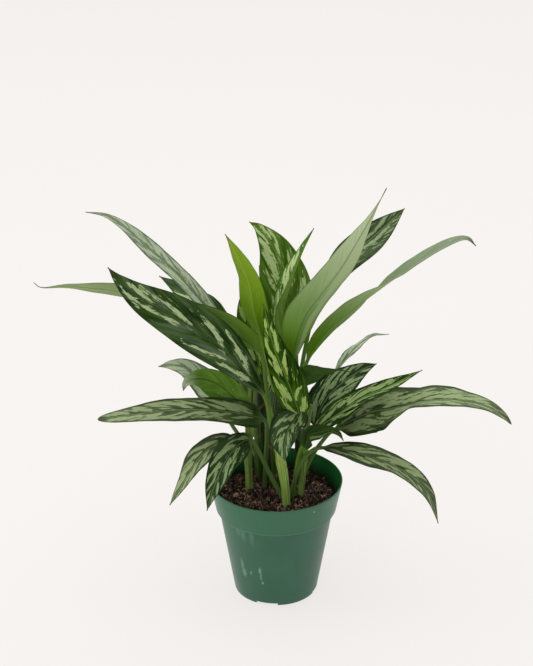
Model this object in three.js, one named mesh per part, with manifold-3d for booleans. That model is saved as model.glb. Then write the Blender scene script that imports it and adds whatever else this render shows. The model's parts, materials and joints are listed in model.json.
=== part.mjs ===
// A potted chinese evergreen: a clump of short canes with long silver-mottled leaves, in a plain nursery pot.
// Millimetres, +Z up. The origin is the centre of the pot's flat underside, and -Y is the front.
import * as THREE from "three";
import { mergeVertices } from "three/addons/utils/BufferGeometryUtils.js";
import Module from "manifold-3d";

const wasm = await Module();
wasm.setup();

// Pot: a six-inch nursery pot with a deep rim band
const POT_HEIGHT = 145;
const RIM_RADIUS = 78;
const BAND_HEIGHT = 36;
const BAND_FOOT_RADIUS = 71.2;
const BODY_TOP_RADIUS = 67.5;
const BASE_RADIUS = 49.5;
const WALL = 1.6;
const FLOOR = 2;
const LIP_ROUNDING = 0.7;
const STEP_ROUNDING = 0.6;
const BASE_CORNER = 2.5;
const POT_SIDES = 48;

// Drain notches, cut through the pot's bottom corner
const NOTCH_COUNT = 4;
const NOTCH_HEIGHT = 3.6;
const NOTCH_WIDTH = 26;
const NOTCH_DEPTH = 14;
const FIRST_NOTCH_ANGLE = THREE.MathUtils.degToRad(-103);

// Soil
const SOIL_TOP = 125;
const SOIL_EDGE = 3;
const SOIL_MOUND = 2;
const SOIL_LUMP = 1.6;
const SOIL_SIDES = 40;
const SOIL_RINGS = 9;

// Clearance between pieces that touch
const GAP = 0.3;

// Canes, and the depth at which they and the free stalks end in the soil
const STEM_FOOT = 104;
const CANE_SIDES = 10;
const CANE_STEPS = 2;

// Leaves. Shares run from 0 at the blade's foot to 1 at its tip, and places from -1 to 1 across it.
const EDGE_THICKNESS = 0.8;
const RIB_THICKNESS = 2.6;
const RIB_FADE = 0.6;
const RIB_REACH = 0.625;
const TIP_HALF_WIDTH = 0.7;
const OPENED_BY = 0.08;
const EDGE_BEND = 0.35;
const WAVES = 2.2;
const WAVE_STEP = 0.37;
const WAVE_SIDE_SHIFT = 0.3;
const STALK_FLARE = 0.35;
const STALK_STEPS = 3;
const BLADE_STATIONS = [0, 0.04, 0.1, 0.2, 0.32, 0.45, 0.58, 0.71, 0.83, 0.93, 1];
const BLADE_PLACES = [-1, -0.5, 0, 0.5, 1];
const LEAF_DEFAULTS = { fold: 0.25, belly: 0.38, taper: 1.1, wave: 1.6, stalk: 2.3 };
const CURVE_SAMPLES = 400;

const COLOURS = {
  pot: 0x3e664e,
  soil: 0x2d1e19,
  cane: 0x6a8c3c,
  leaf: 0x3c6a2c,
  youngLeaf: 0x6f9a35,
};

// Canes: the line of each from below the soil's surface to its top, with its radius at each point
const CANES = {
  cane_front: {
    route: [[12, -28, STEM_FOOT], [11, -28, 140], [5, -27, 185], [-3, -25, 224], [-9, -23, 256]],
    radii: [4.4, 4.8, 6, 3.4, 2.5],
  },
  cane_right: {
    route: [[29, -2, STEM_FOOT], [30, -1, 140], [33, 1, 180], [36, 3, 214], [40, 5, 240]],
    radii: [3.8, 3.8, 4.4, 3.8, 2.8],
  },
  cane_left: {
    route: [[-31, 12, STEM_FOOT], [-32, 13, 140], [-33, 14, 175], [-31, 14, 208], [-28, 15, 258]],
    radii: [4.4, 4.4, 4.6, 3.8, 3],
  },
  cane_middle: {
    route: [[2, 22, STEM_FOOT], [0.5, 22, 150], [1, 21, 205], [5, 18, 262]],
    radii: [8.4, 9.8, 10.8, 7.4],
  },
  cane_back_left: {
    route: [[-19, 42, STEM_FOOT], [-18, 43, 150], [-18, 43, 212], [-19, 41, 260]],
    radii: [6.4, 7.6, 7.8, 5.4],
  },
  cane_back_right: {
    route: [[26, 40, STEM_FOOT], [27, 42, 150], [26, 42, 214]],
    radii: [4.4, 4.6, 3.4],
  },
};

// Leaves: each line runs from the foot of the stalk to the drip tip, and the blade begins at its point number
// "blade". "facing" is where the upper side looks, evenly from the blade's foot to its tip. "fold" is how
// steeply each half rises from the midrib, and "belly" how far along the blade it is widest.
// "taper" sharpens the tip.
const LEAVES = {
  left_broad: {
    route: [
      [-4, -26, 222], [-8, -32, 242], [-13, -36, 270], [-32, -46, 304], [-61, -56, 342], [-108, -70, 384],
      [-148, -80, 414], [-170, -82, 435], [-182, -84, 452],
    ],
    blade: 2,
    width: 52,
    facing: [[0.35, -0.75, 0.3], [0.3, -0.75, 0.35], [0.3, -0.7, 0.5]],
    fold: 0.2,
    belly: 0.5,
  },
  left_high: {
    route: [
      [-31, 15, 205], [-38, 20, 250], [-48, 24, 298], [-72, 30, 340], [-111, 42, 386], [-156, 56, 425],
      [-179, 62, 443], [-197, 66, 452], [-218, 70, 454],
    ],
    blade: 2,
    width: 27,
    facing: [[0.3, -0.35, 0.85], [0.3, -0.35, 0.85], [0, -0.3, 0.95]],
    fold: 0.2,
    belly: 0.45,
  },
  left_level: {
    route: [
      [-8, -23, 246], [-12, -22, 282], [-18, -22, 319], [-47, -30, 347], [-80, -38, 368], [-150, -50, 403],
      [-221, -54, 416], [-256, -55, 415], [-266, -55, 421],
    ],
    blade: 2,
    width: 46,
    facing: [[0.3, 0.9, 0.1], [0.2, 0.75, 0.5], [0.1, 0.6, 0.7]],
    fold: 0.15,
    belly: 0.3,
  },
  left_hidden: {
    route: [
      [-25, 46, 196], [-38, 50, 245], [-52, 54, 300], [-83, 72, 333], [-113, 90, 348], [-138, 105, 359],
    ],
    blade: 2,
    width: 34,
    facing: [[0.2, -0.4, 0.8], [0.2, -0.4, 0.8], [0.2, -0.4, 0.8]],
  },
  up_left_green: {
    route: [
      [1, 17, 246], [-6, 8, 272], [-10, 2, 294], [-18, -6, 335], [-26, -10, 368], [-31, -14, 401],
      [-40, -18, 427], [-49, -20, 449], [-57, -22, 465],
    ],
    blade: 2,
    width: 36,
    facing: [[0.5, 0.8, 0.3], [0.5, 0.8, 0.3], [0.6, 0.7, 0.3]],
    fold: 0.3,
    young: true,
    belly: 0.5,
  },
  up_left_back: {
    route: [[-20, 44, 207], [-18, 39, 245], [-19, 37, 268], [-29, 33, 312], [-36, 33, 352], [-31, 36, 388]],
    blade: 2,
    width: 28,
    facing: [[0, -1, 0.2], [0, -1, 0.2], [0, -1, 0.2]],
    belly: 0.34,
  },
  up_back_broad: {
    route: [
      [8, 21, 250], [17, 22, 284], [17, 20, 303], [14, 24, 339], [11, 30, 374], [5, 34, 400],
      [-4, 36, 425], [-19, 36, 447], [-31, 36, 456],
    ],
    blade: 2,
    width: 60,
    facing: [[0.1, -0.95, 0.25], [0.1, -0.95, 0.25], [0.1, -0.9, 0.4]],
    fold: 0.15,
    young: true,
  },
  up_back_dark: {
    route: [
      [8, 26, 228], [0, 34, 254], [-3, 38, 275], [-3, 44, 302], [-7, 50, 340], [-11, 54, 370],
      [-17, 58, 399],
    ],
    blade: 2,
    width: 36,
    facing: [[0.2, -0.9, 0.3], [0.2, -0.9, 0.3], [0.2, -0.9, 0.3]],
  },
  up_centre_folded: {
    route: [
      [4, 15, 256], [3, 6, 280], [5, 0, 300], [7, -5, 359], [15, -8, 395], [27, -10, 434],
      [41, -10, 467],
    ],
    blade: 2,
    width: 36,
    facing: [[-0.85, -0.1, 0.3], [-0.85, -0.1, 0.3], [-0.85, -0.1, 0.3]],
    fold: 0.9,
    young: true,
  },
  up_right_green: {
    route: [
      [8, 15, 238], [13, -4, 268], [15, -15, 288], [21, -24, 331], [31, -34, 370], [50, -44, 404],
      [71, -52, 439], [97, -66, 495], [107, -72, 519], [116, -76, 540],
    ],
    blade: 2,
    width: 54,
    facing: [[-0.45, 0.8, 0.4], [-0.45, 0.8, 0.4], [-0.45, 0.8, 0.4]],
    fold: 0.3,
    belly: 0.42,
    taper: 2,
  },
  up_right_back: {
    route: [
      [26, 43, 210], [30, 44, 270], [45, 47, 347], [60, 50, 375], [81, 56, 403], [110, 60, 427],
      [146, 64, 461],
    ],
    blade: 2,
    width: 36,
    facing: [[-0.1, -0.85, 0.5], [-0.1, -0.85, 0.5], [-0.1, -0.85, 0.5]],
    belly: 0.55,
  },
  right_long: {
    route: [
      [10, 20, 232], [24, 20, 262], [34, 18, 286], [43, 16, 308], [58, 12, 331], [80, 6, 355],
      [108, 0, 382], [139, -6, 410], [166, -10, 433], [194, -14, 452], [210, -16, 457], [220, -18, 449],
    ],
    blade: 2,
    width: 42,
    facing: [[-0.3, 0.9, 0.3], [-0.35, 0.6, 0.7], [-0.3, 0.05, 0.95], [-0.3, -0.35, 0.9]],
    fold: 0.35,
    belly: 0.45,
  },
  right_thin: {
    route: [
      [29, 42, 194], [44, 50, 222], [58, 57, 240], [70, 62, 253], [80, 70, 265], [91, 80, 274],
      [103, 92, 279], [118, 108, 280], [136, 124, 274],
    ],
    blade: 2,
    width: 16,
    facing: [[-0.2, 0.2, 0.95], [-0.2, 0.2, 0.95], [0, 0.1, 0.95]],
  },
  right_arched_dark: {
    route: [
      [8, 15, 218], [20, 3, 248], [31, -10, 271], [35, -24, 289], [43, -42, 304], [60, -70, 322],
      [82, -98, 333],
    ],
    blade: 2,
    width: 38,
    facing: [[0, 0.75, 0.6], [0, 0.75, 0.6], [0, 0.6, 0.8]],
    belly: 0.3,
  },
  right_back_silver: {
    route: [
      [35, 3, 205], [40, 6, 198], [45, 10, 206], [51, 20, 225], [63, 32, 240], [81, 46, 251],
      [101, 60, 258], [119, 70, 261],
    ],
    blade: 2,
    width: 42,
    facing: [[0, -0.75, 0.65], [-0.35, -0.75, 0.55], [-0.2, -0.7, 0.7]],
  },
  right_bright: {
    route: [
      [21, -1, STEM_FOOT], [22, -1, 140], [27, -6, 182], [37, -12, 205], [50, -18, 223], [73, -26, 246],
      [97, -34, 269], [126, -42, 287], [163, -50, 312],
    ],
    blade: 3,
    width: 32,
    facing: [[-0.3, -0.45, 0.85], [-0.3, -0.35, 0.9], [-0.3, -0.35, 0.9]],
    young: true,
    fold: 0.3,
  },
  right_drooping: {
    route: [
      [32, 0, 150], [42, 1, 175], [57, -1, 200], [68, -5, 213], [105, -22, 243], [125, -34, 254],
      [144, -44, 264], [165, -52, 274], [193, -60, 280], [219, -66, 279], [237, -70, 275], [254, -73, 265],
      [263, -74, 256],
    ],
    blade: 3,
    width: 52,
    facing: [[0, -0.8, 0.6], [0, -0.9, 0.5], [0.1, -0.1, 1], [0.1, 0, 1], [0.4, -0.2, 0.9]],
    fold: 0.3,
    belly: 0.4,
    taper: 0.7,
  },
  right_small: {
    route: [
      [33, -2, 172], [33, -13, 184], [33, -22, 196], [38, -32, 219], [49, -38, 227], [60, -44, 232],
      [70, -51, 232], [76, -57, 226],
    ],
    blade: 2,
    width: 19,
    facing: [[-0.05, -0.65, 0.75], [-0.05, -0.65, 0.75], [0.3, -0.4, 0.9]],
    young: true,
  },
  right_low: {
    route: [
      [17, -8, STEM_FOOT], [19, -9, 135], [27, -14, 168], [38, -19, 190], [50, -24, 199], [76, -38, 204],
      [101, -52, 204], [127, -66, 202], [147, -80, 197], [163, -90, 187], [174, -100, 174],
      [182, -110, 149],
    ],
    blade: 4,
    width: 34,
    facing: [[0.1, -0.2, 0.95], [0.2, -0.35, 0.9], [0.6, -0.5, 0.6]],
  },
  front_upright: {
    route: [
      [-1, -26, 212], [12, -38, 230], [26, -44, 247], [18, -49, 281], [7, -51, 313], [-4, -51, 344],
      [-15, -47, 392],
    ],
    blade: 2,
    width: 38,
    facing: [[0.35, -0.9, 0.2], [0.35, -0.9, 0.2], [0.35, -0.9, 0.2]],
    belly: 0.3,
    young: true,
  },
  front_small: {
    route: [[5, -28, 200], [18, -52, 229], [27, -65, 264], [14, -81, 255], [9, -97, 244], [9, -110, 229]],
    blade: 2,
    width: 46,
    facing: [[-0.65, -0.7, 0.5], [-0.65, -0.7, 0.5], [-0.4, -0.7, 0.6]],
    belly: 0.34,
    fold: 0.4,
  },
  left_low_outer: {
    route: [
      [-34, 11, 192], [-37, 2, 203], [-46, -12, 208], [-60, -28, 211], [-75, -42, 210], [-89, -56, 202],
      [-102, -70, 186], [-121, -90, 161],
    ],
    blade: 2,
    width: 30,
    facing: [[0, -0.3, 0.95], [-0.4, -0.6, 0.7], [-0.7, -0.6, 0.3]],
  },
  left_low_inner: {
    route: [
      [7, -24, 134], [-8, -18, 162], [-22, -24, 198], [-30, -32, 214], [-44, -50, 216], [-57, -72, 209],
      [-69, -98, 193], [-78, -116, 169],
    ],
    blade: 3,
    width: 36,
    facing: [[0.1, -0.8, 0.5], [-0.3, -0.8, 0.5], [-0.5, -0.85, 0.1]],
  },
  left_mid_silver: {
    route: [
      [-14, 17, STEM_FOOT], [-13, 16, 150], [-11, 4, 205], [-14, -10, 228], [-30, -20, 239],
      [-55, -30, 249], [-87, -42, 258], [-120, -52, 262], [-154, -60, 262], [-201, -66, 258],
    ],
    blade: 3,
    width: 34,
    facing: [[0.4, -0.6, 0.7], [0, -0.45, 0.9], [0, -0.45, 0.9]],
    fold: 0.15,
    belly: 0.3,
    taper: 0.5,
  },
  left_curl_silver: {
    route: [
      [-32, 15, 170], [-42, 14, 192], [-53, 14, 211], [-63, 22, 231], [-83, 34, 251], [-104, 42, 268],
      [-122, 44, 272], [-138, 46, 269],
    ],
    blade: 2,
    width: 36,
    facing: [[0.2, -0.6, 0.75], [0.2, -0.6, 0.75], [-0.2, -0.7, 0.7]],
  },
  left_curl_green: {
    route: [
      [-28, 12, 196], [-27, 4, 221], [-34, -2, 237], [-44, -5, 249], [-58, -12, 268], [-71, -23, 283],
      [-83, -34, 293], [-95, -44, 297], [-102, -50, 295], [-105, -54, 288],
    ],
    blade: 2,
    width: 36,
    facing: [[-0.3, -0.9, 0.35], [-0.3, -0.9, 0.35], [-0.2, -0.8, 0.55]],
    fold: 0.2,
    belly: 0.36,
    taper: 0.9,
  },
  back_high: {
    route: [[4, 24, 248], [8, 44, 280], [8, 70, 316], [2, 108, 342], [-8, 150, 350], [-14, 186, 330]],
    blade: 1,
    width: 46,
    facing: [[0, -0.5, 0.85], [0, -0.1, 1], [0, 0.5, 0.85]],
  },
  back_middle: {
    route: [[4, 26, 222], [-2, 50, 250], [-8, 82, 276], [-16, 120, 288], [-24, 152, 280], [-30, 176, 256]],
    blade: 1,
    width: 42,
    facing: [[0, -0.4, 0.9], [0, 0.1, 1], [0, 0.6, 0.8]],
  },
  back_left: {
    route: [
      [-22, 48, 185], [-34, 64, 222], [-52, 90, 264], [-75, 130, 288], [-94, 164, 284], [-105, 188, 262],
    ],
    blade: 1,
    width: 42,
    facing: [[0.3, -0.3, 0.9], [0.1, 0, 1], [-0.3, 0.4, 0.85]],
  },
  back_right: {
    route: [[27, 44, 180], [26, 64, 228], [24, 92, 270], [27, 132, 298], [30, 166, 294], [32, 192, 272]],
    blade: 2,
    width: 38,
    facing: [[-0.2, -0.3, 0.9], [0, 0.1, 1], [0.1, 0.5, 0.85]],
  },
  back_low_left: {
    route: [
      [-24, 47, 150], [-38, 66, 186], [-60, 98, 200], [-85, 126, 187], [-105, 148, 162],
      [-116, 162, 136],
    ],
    blade: 1,
    width: 36,
    facing: [[-0.1, 0, 1], [-0.3, 0.3, 0.9], [-0.6, 0.6, 0.5]],
  },
  back_low_right: {
    route: [[28, 43, 168], [40, 64, 196], [58, 94, 208], [82, 124, 202], [102, 150, 180], [114, 166, 152]],
    blade: 1,
    width: 38,
    facing: [[0.1, 0, 1], [0.3, 0.3, 0.9], [0.6, 0.6, 0.5]],
  },
  back_low_middle: {
    route: [[-21, 48, 166], [-14, 68, 198], [-4, 100, 218], [6, 136, 214], [14, 166, 192], [18, 186, 162]],
    blade: 1,
    width: 38,
    facing: [[0, 0, 1], [0, 0.3, 0.9], [0, 0.7, 0.6]],
  },
};

const smooth = (share) => share * share * (3 - 2 * share);

// Skins equal rings of points into one closed geometry with fanned ends. The second half of each ring runs
// back under the first half, and its diagonals lie under the first half's.
function loft(rings) {
  const count = rings[0].length;
  const positions = rings.flat().flatMap((p) => [p.x, p.y, p.z]);
  const index = [];
  for (let ring = 0; ring + 1 < rings.length; ring += 1) {
    for (let side = 0; side < count; side += 1) {
      const next = (side + 1) % count;
      const [a, b] = [ring * count + side, ring * count + next];
      const [c, d] = [a + count, b + count];
      const under = side >= count / 2;
      index.push(...(under ? [a, b, c, b, d, c] : [a, b, d, a, d, c]));
    }
  }
  const last = (rings.length - 1) * count;
  for (let side = 1; side + 1 < count; side += 1) {
    index.push(0, side + 1, side, last, last + side, last + side + 1);
  }
  const geometry = new THREE.BufferGeometry();
  geometry.setAttribute("position", new THREE.Float32BufferAttribute(positions, 3));
  geometry.setIndex(index);
  return geometry;
}

function solidOf(geometry) {
  const bare = geometry.clone();
  bare.deleteAttribute("normal");
  bare.deleteAttribute("uv");
  const merged = mergeVertices(bare, 1e-4);
  const mesh = new wasm.Mesh({
    numProp: 3,
    vertProperties: new Float32Array(merged.attributes.position.array),
    triVerts: new Uint32Array(merged.index.array),
  });
  return new wasm.Manifold(mesh);
}

function geometryOf(solid) {
  const mesh = solid.getMesh();
  const geometry = new THREE.BufferGeometry();
  geometry.setAttribute("position", new THREE.Float32BufferAttribute(mesh.vertProperties, 3));
  geometry.setIndex(Array.from(mesh.triVerts));
  geometry.computeVertexNormals();
  return geometry;
}

// The biggest of the bodies that a cut leaves.
function largest(solid) {
  return solid.decompose().reduce((best, body) => (body.volume() > best.volume() ? body : best));
}

function curveThrough(route) {
  const points = route.map((p) => new THREE.Vector3(...p));
  return new THREE.CatmullRomCurve3(points, false, "catmullrom", 0.5);
}

// The share of a curve's length that lies before the point at parameter t.
function lengthShare(curve, t) {
  const lengths = curve.getLengths(CURVE_SAMPLES);
  return lengths[Math.round(CURVE_SAMPLES * t)] / lengths[CURVE_SAMPLES];
}

// A value at a share of the way through a list, between its two nearest entries.
function between(list, share, mix) {
  const place = share * (list.length - 1);
  const first = Math.min(Math.floor(place), list.length - 2);
  return mix(list[first], list[first + 1], place - first);
}

function square(vector, along) {
  return vector.clone().addScaledVector(along, -vector.dot(along)).normalize();
}

function ringAt(centre, across, up, points) {
  return points.map(([u, v]) => centre.clone().addScaledVector(across, u).addScaledVector(up, v));
}

function circle(radius, sides, firstAngle) {
  return Array.from({ length: sides }, (_, side) => {
    const angle = firstAngle - (2 * Math.PI * side) / sides;
    return [radius * Math.cos(angle), radius * Math.sin(angle)];
  });
}

// A round cane along its route. Grown by a clearance, it is the tool that cuts its hole.
function caneGeometry({ route, radii }, grow = 0) {
  const curve = curveThrough(route);
  const steps = (route.length - 1) * CANE_STEPS;
  const rings = [];
  for (let step = 0; step <= steps; step += 1) {
    const share = step / steps;
    const along = curve.getTangent(share);
    const centre = curve.getPoint(share).addScaledVector(along, grow * (2 * share - 1));
    const across = square(new THREE.Vector3(1, 0, 0), along);
    const up = new THREE.Vector3().crossVectors(across, along);
    const radius = grow + between(radii, share, THREE.MathUtils.lerp);
    rings.push(ringAt(centre, across, up, circle(radius, CANE_SIDES, 0)));
  }
  return loft(rings);
}

// Half the blade's width as a share of its widest, from its foot (0) to its tip (1).
function bladeOutline(share, belly, taper) {
  const swell = (taper * belly) / (1 - belly);
  const outline = (s) => s ** swell * (1 - s) ** taper;
  return outline(share) / outline(belly);
}

// The blade's section as [across, up] pairs: the upper face from left to right, then the under face back.
function bladeSection(leaf, order, share) {
  const { width, fold, belly, taper, wave } = { ...LEAF_DEFAULTS, ...leaf };
  const half = Math.max(TIP_HALF_WIDTH, (width / 2) * bladeOutline(share, belly, taper));
  const rib = THREE.MathUtils.lerp(RIB_THICKNESS, EDGE_THICKNESS, share ** RIB_FADE);
  const rise = (place) => {
    const outward = Math.abs(place);
    const turns = WAVES * share + WAVE_STEP * order + (place > 0 ? WAVE_SIDE_SHIFT : 0);
    const waved = wave * Math.sin(2 * Math.PI * turns) * outward ** 2 * Math.sin(Math.PI * share);
    return half * fold * (outward - EDGE_BEND * outward ** 2) + waved;
  };
  const halfThickness = (place) => {
    return THREE.MathUtils.lerp(rib, EDGE_THICKNESS, Math.min(1, Math.abs(place) / RIB_REACH)) / 2;
  };
  return [
    ...BLADE_PLACES.map((place) => [place * half, rise(place) + halfThickness(place)]),
    ...BLADE_PLACES.toReversed().map((place) => [place * half, rise(place) - halfThickness(place)]),
  ];
}

// One leaf: a round stalk that opens into a folded blade with a thick midrib, waved edges and a drip tip.
// With stalkOnly and a clearance, it is the tool that cuts the stalk's hole.
function leafGeometry(leaf, order, stalkOnly = false, grow = 0) {
  const { route, blade, facing, stalk } = { ...LEAF_DEFAULTS, ...leaf };
  const curve = curveThrough(route);
  const bladeStart = lengthShare(curve, blade / (route.length - 1));
  const facings = facing.map((v) => new THREE.Vector3(...v).normalize());
  const sides = 2 * BLADE_PLACES.length;
  const firstAngle = Math.PI - Math.PI / sides;
  const rings = [];

  const pushRing = (share, bladeShare, points) => {
    const along = curve.getTangentAt(share);
    const centre = curve.getPointAt(share).addScaledVector(along, share === 0 ? -grow : 0);
    const looking = between(facings, bladeShare, (a, b, mix) => a.clone().lerp(b, mix));
    const up = square(looking, along);
    rings.push(ringAt(centre, new THREE.Vector3().crossVectors(along, up), up, points));
  };

  for (let step = 0; step < STALK_STEPS; step += 1) {
    const share = step / STALK_STEPS;
    const radius = grow + stalk * (1 + STALK_FLARE * (1 - share) ** 2);
    pushRing(share * bladeStart, 0, circle(radius, sides, firstAngle));
  }
  if (stalkOnly) {
    pushRing(bladeStart, 0, circle(grow + stalk, sides, firstAngle));
    return loft(rings);
  }
  const stalkEnd = circle(stalk, sides, firstAngle);
  for (const share of BLADE_STATIONS) {
    const opened = smooth(Math.min(1, share / OPENED_BY));
    const section = bladeSection(leaf, order, share).map((point, k) => [
      THREE.MathUtils.lerp(stalkEnd[k][0], point[0], opened),
      THREE.MathUtils.lerp(stalkEnd[k][1], point[1], opened),
    ]);
    pushRing(bladeStart + share * (1 - bladeStart), share, section);
  }
  return loft(rings);
}

function lathe(profile, sides) {
  const geometry = new THREE.LatheGeometry(profile.map(([r, z]) => new THREE.Vector2(r, z)), sides);
  return geometry.rotateX(Math.PI / 2);
}

const bandFootHeight = POT_HEIGHT - BAND_HEIGHT;
const bandFootInside = BAND_FOOT_RADIUS - WALL;
const bodyTopInside = BODY_TOP_RADIUS - WALL;
const baseInside = BASE_RADIUS - WALL;

function potSolid() {
  const corner = [0, 0.5, 1].map((share) => {
    const angle = (share * Math.PI) / 2;
    return [
      BASE_RADIUS - BASE_CORNER + BASE_CORNER * Math.sin(angle),
      BASE_CORNER - BASE_CORNER * Math.cos(angle),
    ];
  });
  const profile = [
    [0, 0],
    ...corner,
    [BODY_TOP_RADIUS, bandFootHeight - STEP_ROUNDING],
    [BAND_FOOT_RADIUS - STEP_ROUNDING, bandFootHeight],
    [BAND_FOOT_RADIUS, bandFootHeight + STEP_ROUNDING],
    [RIM_RADIUS, POT_HEIGHT - LIP_ROUNDING],
    [RIM_RADIUS - LIP_ROUNDING / 2, POT_HEIGHT],
    [RIM_RADIUS - WALL, POT_HEIGHT],
    [bandFootInside, bandFootHeight + WALL],
    [bodyTopInside, bandFootHeight - STEP_ROUNDING],
    [baseInside, FLOOR + BASE_CORNER],
    [baseInside - FLOOR / 2, FLOOR],
    [0, FLOOR],
  ];
  let pot = solidOf(lathe(profile, POT_SIDES));
  for (let notch = 0; notch < NOTCH_COUNT; notch += 1) {
    const angle = FIRST_NOTCH_ANGLE + (notch * 2 * Math.PI) / NOTCH_COUNT;
    const cutter = new THREE.BoxGeometry(NOTCH_DEPTH, NOTCH_WIDTH, 2 * NOTCH_HEIGHT);
    cutter.translate(BASE_RADIUS, 0, 0).rotateZ(angle);
    pot = pot.subtract(solidOf(cutter));
  }
  return pot;
}

// The soil's surface over its level: a low mound with lumps from crossed waves, flat at the pot's wall.
function soilRelief(x, y, edge) {
  const inside = 1 - (Math.hypot(x, y) / edge) ** 4;
  const broad = Math.sin(0.31 * x + 0.13 * y) * Math.cos(0.27 * y - 0.09 * x);
  const fine = Math.sin(0.55 * x - 0.41 * y + 1.3) / 2;
  return SOIL_MOUND * inside + SOIL_LUMP * (broad + fine) * Math.min(1, 2 * inside);
}

function soilSolid() {
  const bandTaper = (RIM_RADIUS - BAND_FOOT_RADIUS) / BAND_HEIGHT;
  const edgeAt = (z) => bandFootInside + bandTaper * (z - bandFootHeight - WALL) - 2 * GAP;
  const side = [
    [0, FLOOR + GAP],
    [baseInside - FLOOR / 2 - 2 * GAP, FLOOR + GAP],
    [baseInside - 2 * GAP, FLOOR + BASE_CORNER + GAP],
    [bodyTopInside - 2 * GAP, bandFootHeight - STEP_ROUNDING],
    [bandFootInside - 2 * GAP, bandFootHeight + WALL + GAP],
    [edgeAt(SOIL_TOP) - 2 * GAP, SOIL_TOP - SOIL_EDGE],
  ];
  const top = Array.from({ length: SOIL_RINGS + 1 }, (_, ring) => {
    return [(1 - ring / SOIL_RINGS) * (edgeAt(SOIL_TOP) - GAP), SOIL_TOP];
  });
  const geometry = lathe([...side, ...top], SOIL_SIDES);
  const place = geometry.attributes.position;
  for (let k = 0; k < place.count; k += 1) {
    if (place.getZ(k) > SOIL_TOP - SOIL_EDGE / 2) {
      place.setZ(k, SOIL_TOP + soilRelief(place.getX(k), place.getY(k), edgeAt(SOIL_TOP)));
    }
  }
  let soil = solidOf(geometry);
  for (const cane of Object.values(CANES)) {
    soil = soil.subtract(solidOf(caneGeometry(cane, GAP)));
  }
  Object.values(LEAVES).forEach((leaf, order) => {
    if (leaf.route[0][2] === STEM_FOOT) {
      soil = soil.subtract(solidOf(leafGeometry(leaf, order, true, GAP)));
    }
  });
  return soil;
}

const group = new THREE.Group();

function addPiece(name, geometry, colour, roughness) {
  const material = new THREE.MeshStandardMaterial({ color: colour, roughness, metalness: 0 });
  const mesh = new THREE.Mesh(geometry, material);
  mesh.name = name;
  group.add(mesh);
}

addPiece("pot", geometryOf(potSolid()), COLOURS.pot, 0.45);
addPiece("soil", geometryOf(soilSolid()), COLOURS.soil, 0.95);
for (const [name, cane] of Object.entries(CANES)) {
  addPiece(name, caneGeometry(cane), COLOURS.cane, 0.6);
}

// Each stalk that springs from a cane is cut to lie against it.
const caneCutter = Object.values(CANES)
  .map((cane) => solidOf(caneGeometry(cane, GAP)))
  .reduce((joined, cane) => joined.add(cane));
Object.entries(LEAVES).forEach(([name, leaf], order) => {
  const cut = largest(solidOf(leafGeometry(leaf, order)).subtract(caneCutter));
  addPiece(`leaf_${name}`, geometryOf(cut), leaf.young ? COLOURS.youngLeaf : COLOURS.leaf, 0.4);
});

export default group;
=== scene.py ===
"""The looks of a potted chinese evergreen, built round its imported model, for Blender 4.5.

Every object is in metres, with the pot's axis on the z axis, its underside on z = 0, and -y as the front.
The tables of leaves and canes repeat the part's drawing in millimetres, and MM turns them into metres.
"""
import json
import math
import random

import bpy
import numpy as np
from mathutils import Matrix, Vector, noise


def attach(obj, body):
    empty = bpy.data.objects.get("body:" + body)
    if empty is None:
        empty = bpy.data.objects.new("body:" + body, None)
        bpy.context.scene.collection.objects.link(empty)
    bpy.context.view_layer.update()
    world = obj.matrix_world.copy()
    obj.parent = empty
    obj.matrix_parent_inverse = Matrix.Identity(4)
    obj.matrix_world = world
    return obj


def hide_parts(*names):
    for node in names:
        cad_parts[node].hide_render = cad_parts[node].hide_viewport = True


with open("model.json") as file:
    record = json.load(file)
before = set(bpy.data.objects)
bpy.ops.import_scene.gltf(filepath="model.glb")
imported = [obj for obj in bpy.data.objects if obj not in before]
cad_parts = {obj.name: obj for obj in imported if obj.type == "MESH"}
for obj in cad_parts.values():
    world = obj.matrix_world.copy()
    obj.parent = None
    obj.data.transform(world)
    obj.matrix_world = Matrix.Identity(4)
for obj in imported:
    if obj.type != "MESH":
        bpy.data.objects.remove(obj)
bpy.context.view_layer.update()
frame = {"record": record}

MM = 0.001

# Camera and studio, in metres, degrees and watts
CAMERA_LENS = 110.3
CAMERA_PLACE = (-0.0114, -2.0967, 1.3254)
CAMERA_PITCH = 25.3
FLOOR_SIZE = 14
WORLD_COLOUR = (252, 249, 246)
WORLD_STRENGTH = 0.62
FLOOR_GLOW = 0.76
# Each light's place, the point it faces, its two sizes and its power
LIGHTS = {
    "overhead": ((0.0, 0.7, 3.0), (0.0, 0.0, 0.2), (4.0, 3.0), 62),
    "front_fill": ((-1.4, -3.0, 2.2), (0.0, 0.0, 0.25), (2.2, 2.2), 20),
    "side_left": ((-3.0, -0.3, 1.4), (0.0, 0.0, 0.25), (1.6, 2.0), 18),
}

# Pot, in metres
POT_HEIGHT = 0.145
RIM_RADIUS = 0.078
BAND_HEIGHT = 0.036
BAND_FOOT = POT_HEIGHT - BAND_HEIGHT
BAND_FOOT_RADIUS = 0.0712
BODY_TOP_RADIUS = 0.0675
BASE_RADIUS = 0.0495
BASE_HOLLOW = 0.0003
WALL = 0.0016
FLOOR = 0.002
STEP_ROUNDING = 0.0006
BASE_CORNER = 0.0025
# The underside is hollow up to the first of these radii and flat from the second, with a ring near its middle
BASE_RINGS = (BASE_RADIUS - 2.6 * BASE_CORNER, BASE_RADIUS - 2.3 * BASE_CORNER, 0.012)
POT_SIDES = 192
POT_SHARP = 40
NOTCH_COUNT = 4
NOTCH_HEIGHT = 0.0036
NOTCH_WIDTH = 0.026
NOTCH_DEPTH = 0.014
NOTCH_ROUNDING = 0.0018
FIRST_NOTCH_ANGLE = math.radians(-103)
# How far above and below the band's foot the painted highlight along the step reaches
STEP_HIGHLIGHT_HALF = 0.0005
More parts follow.
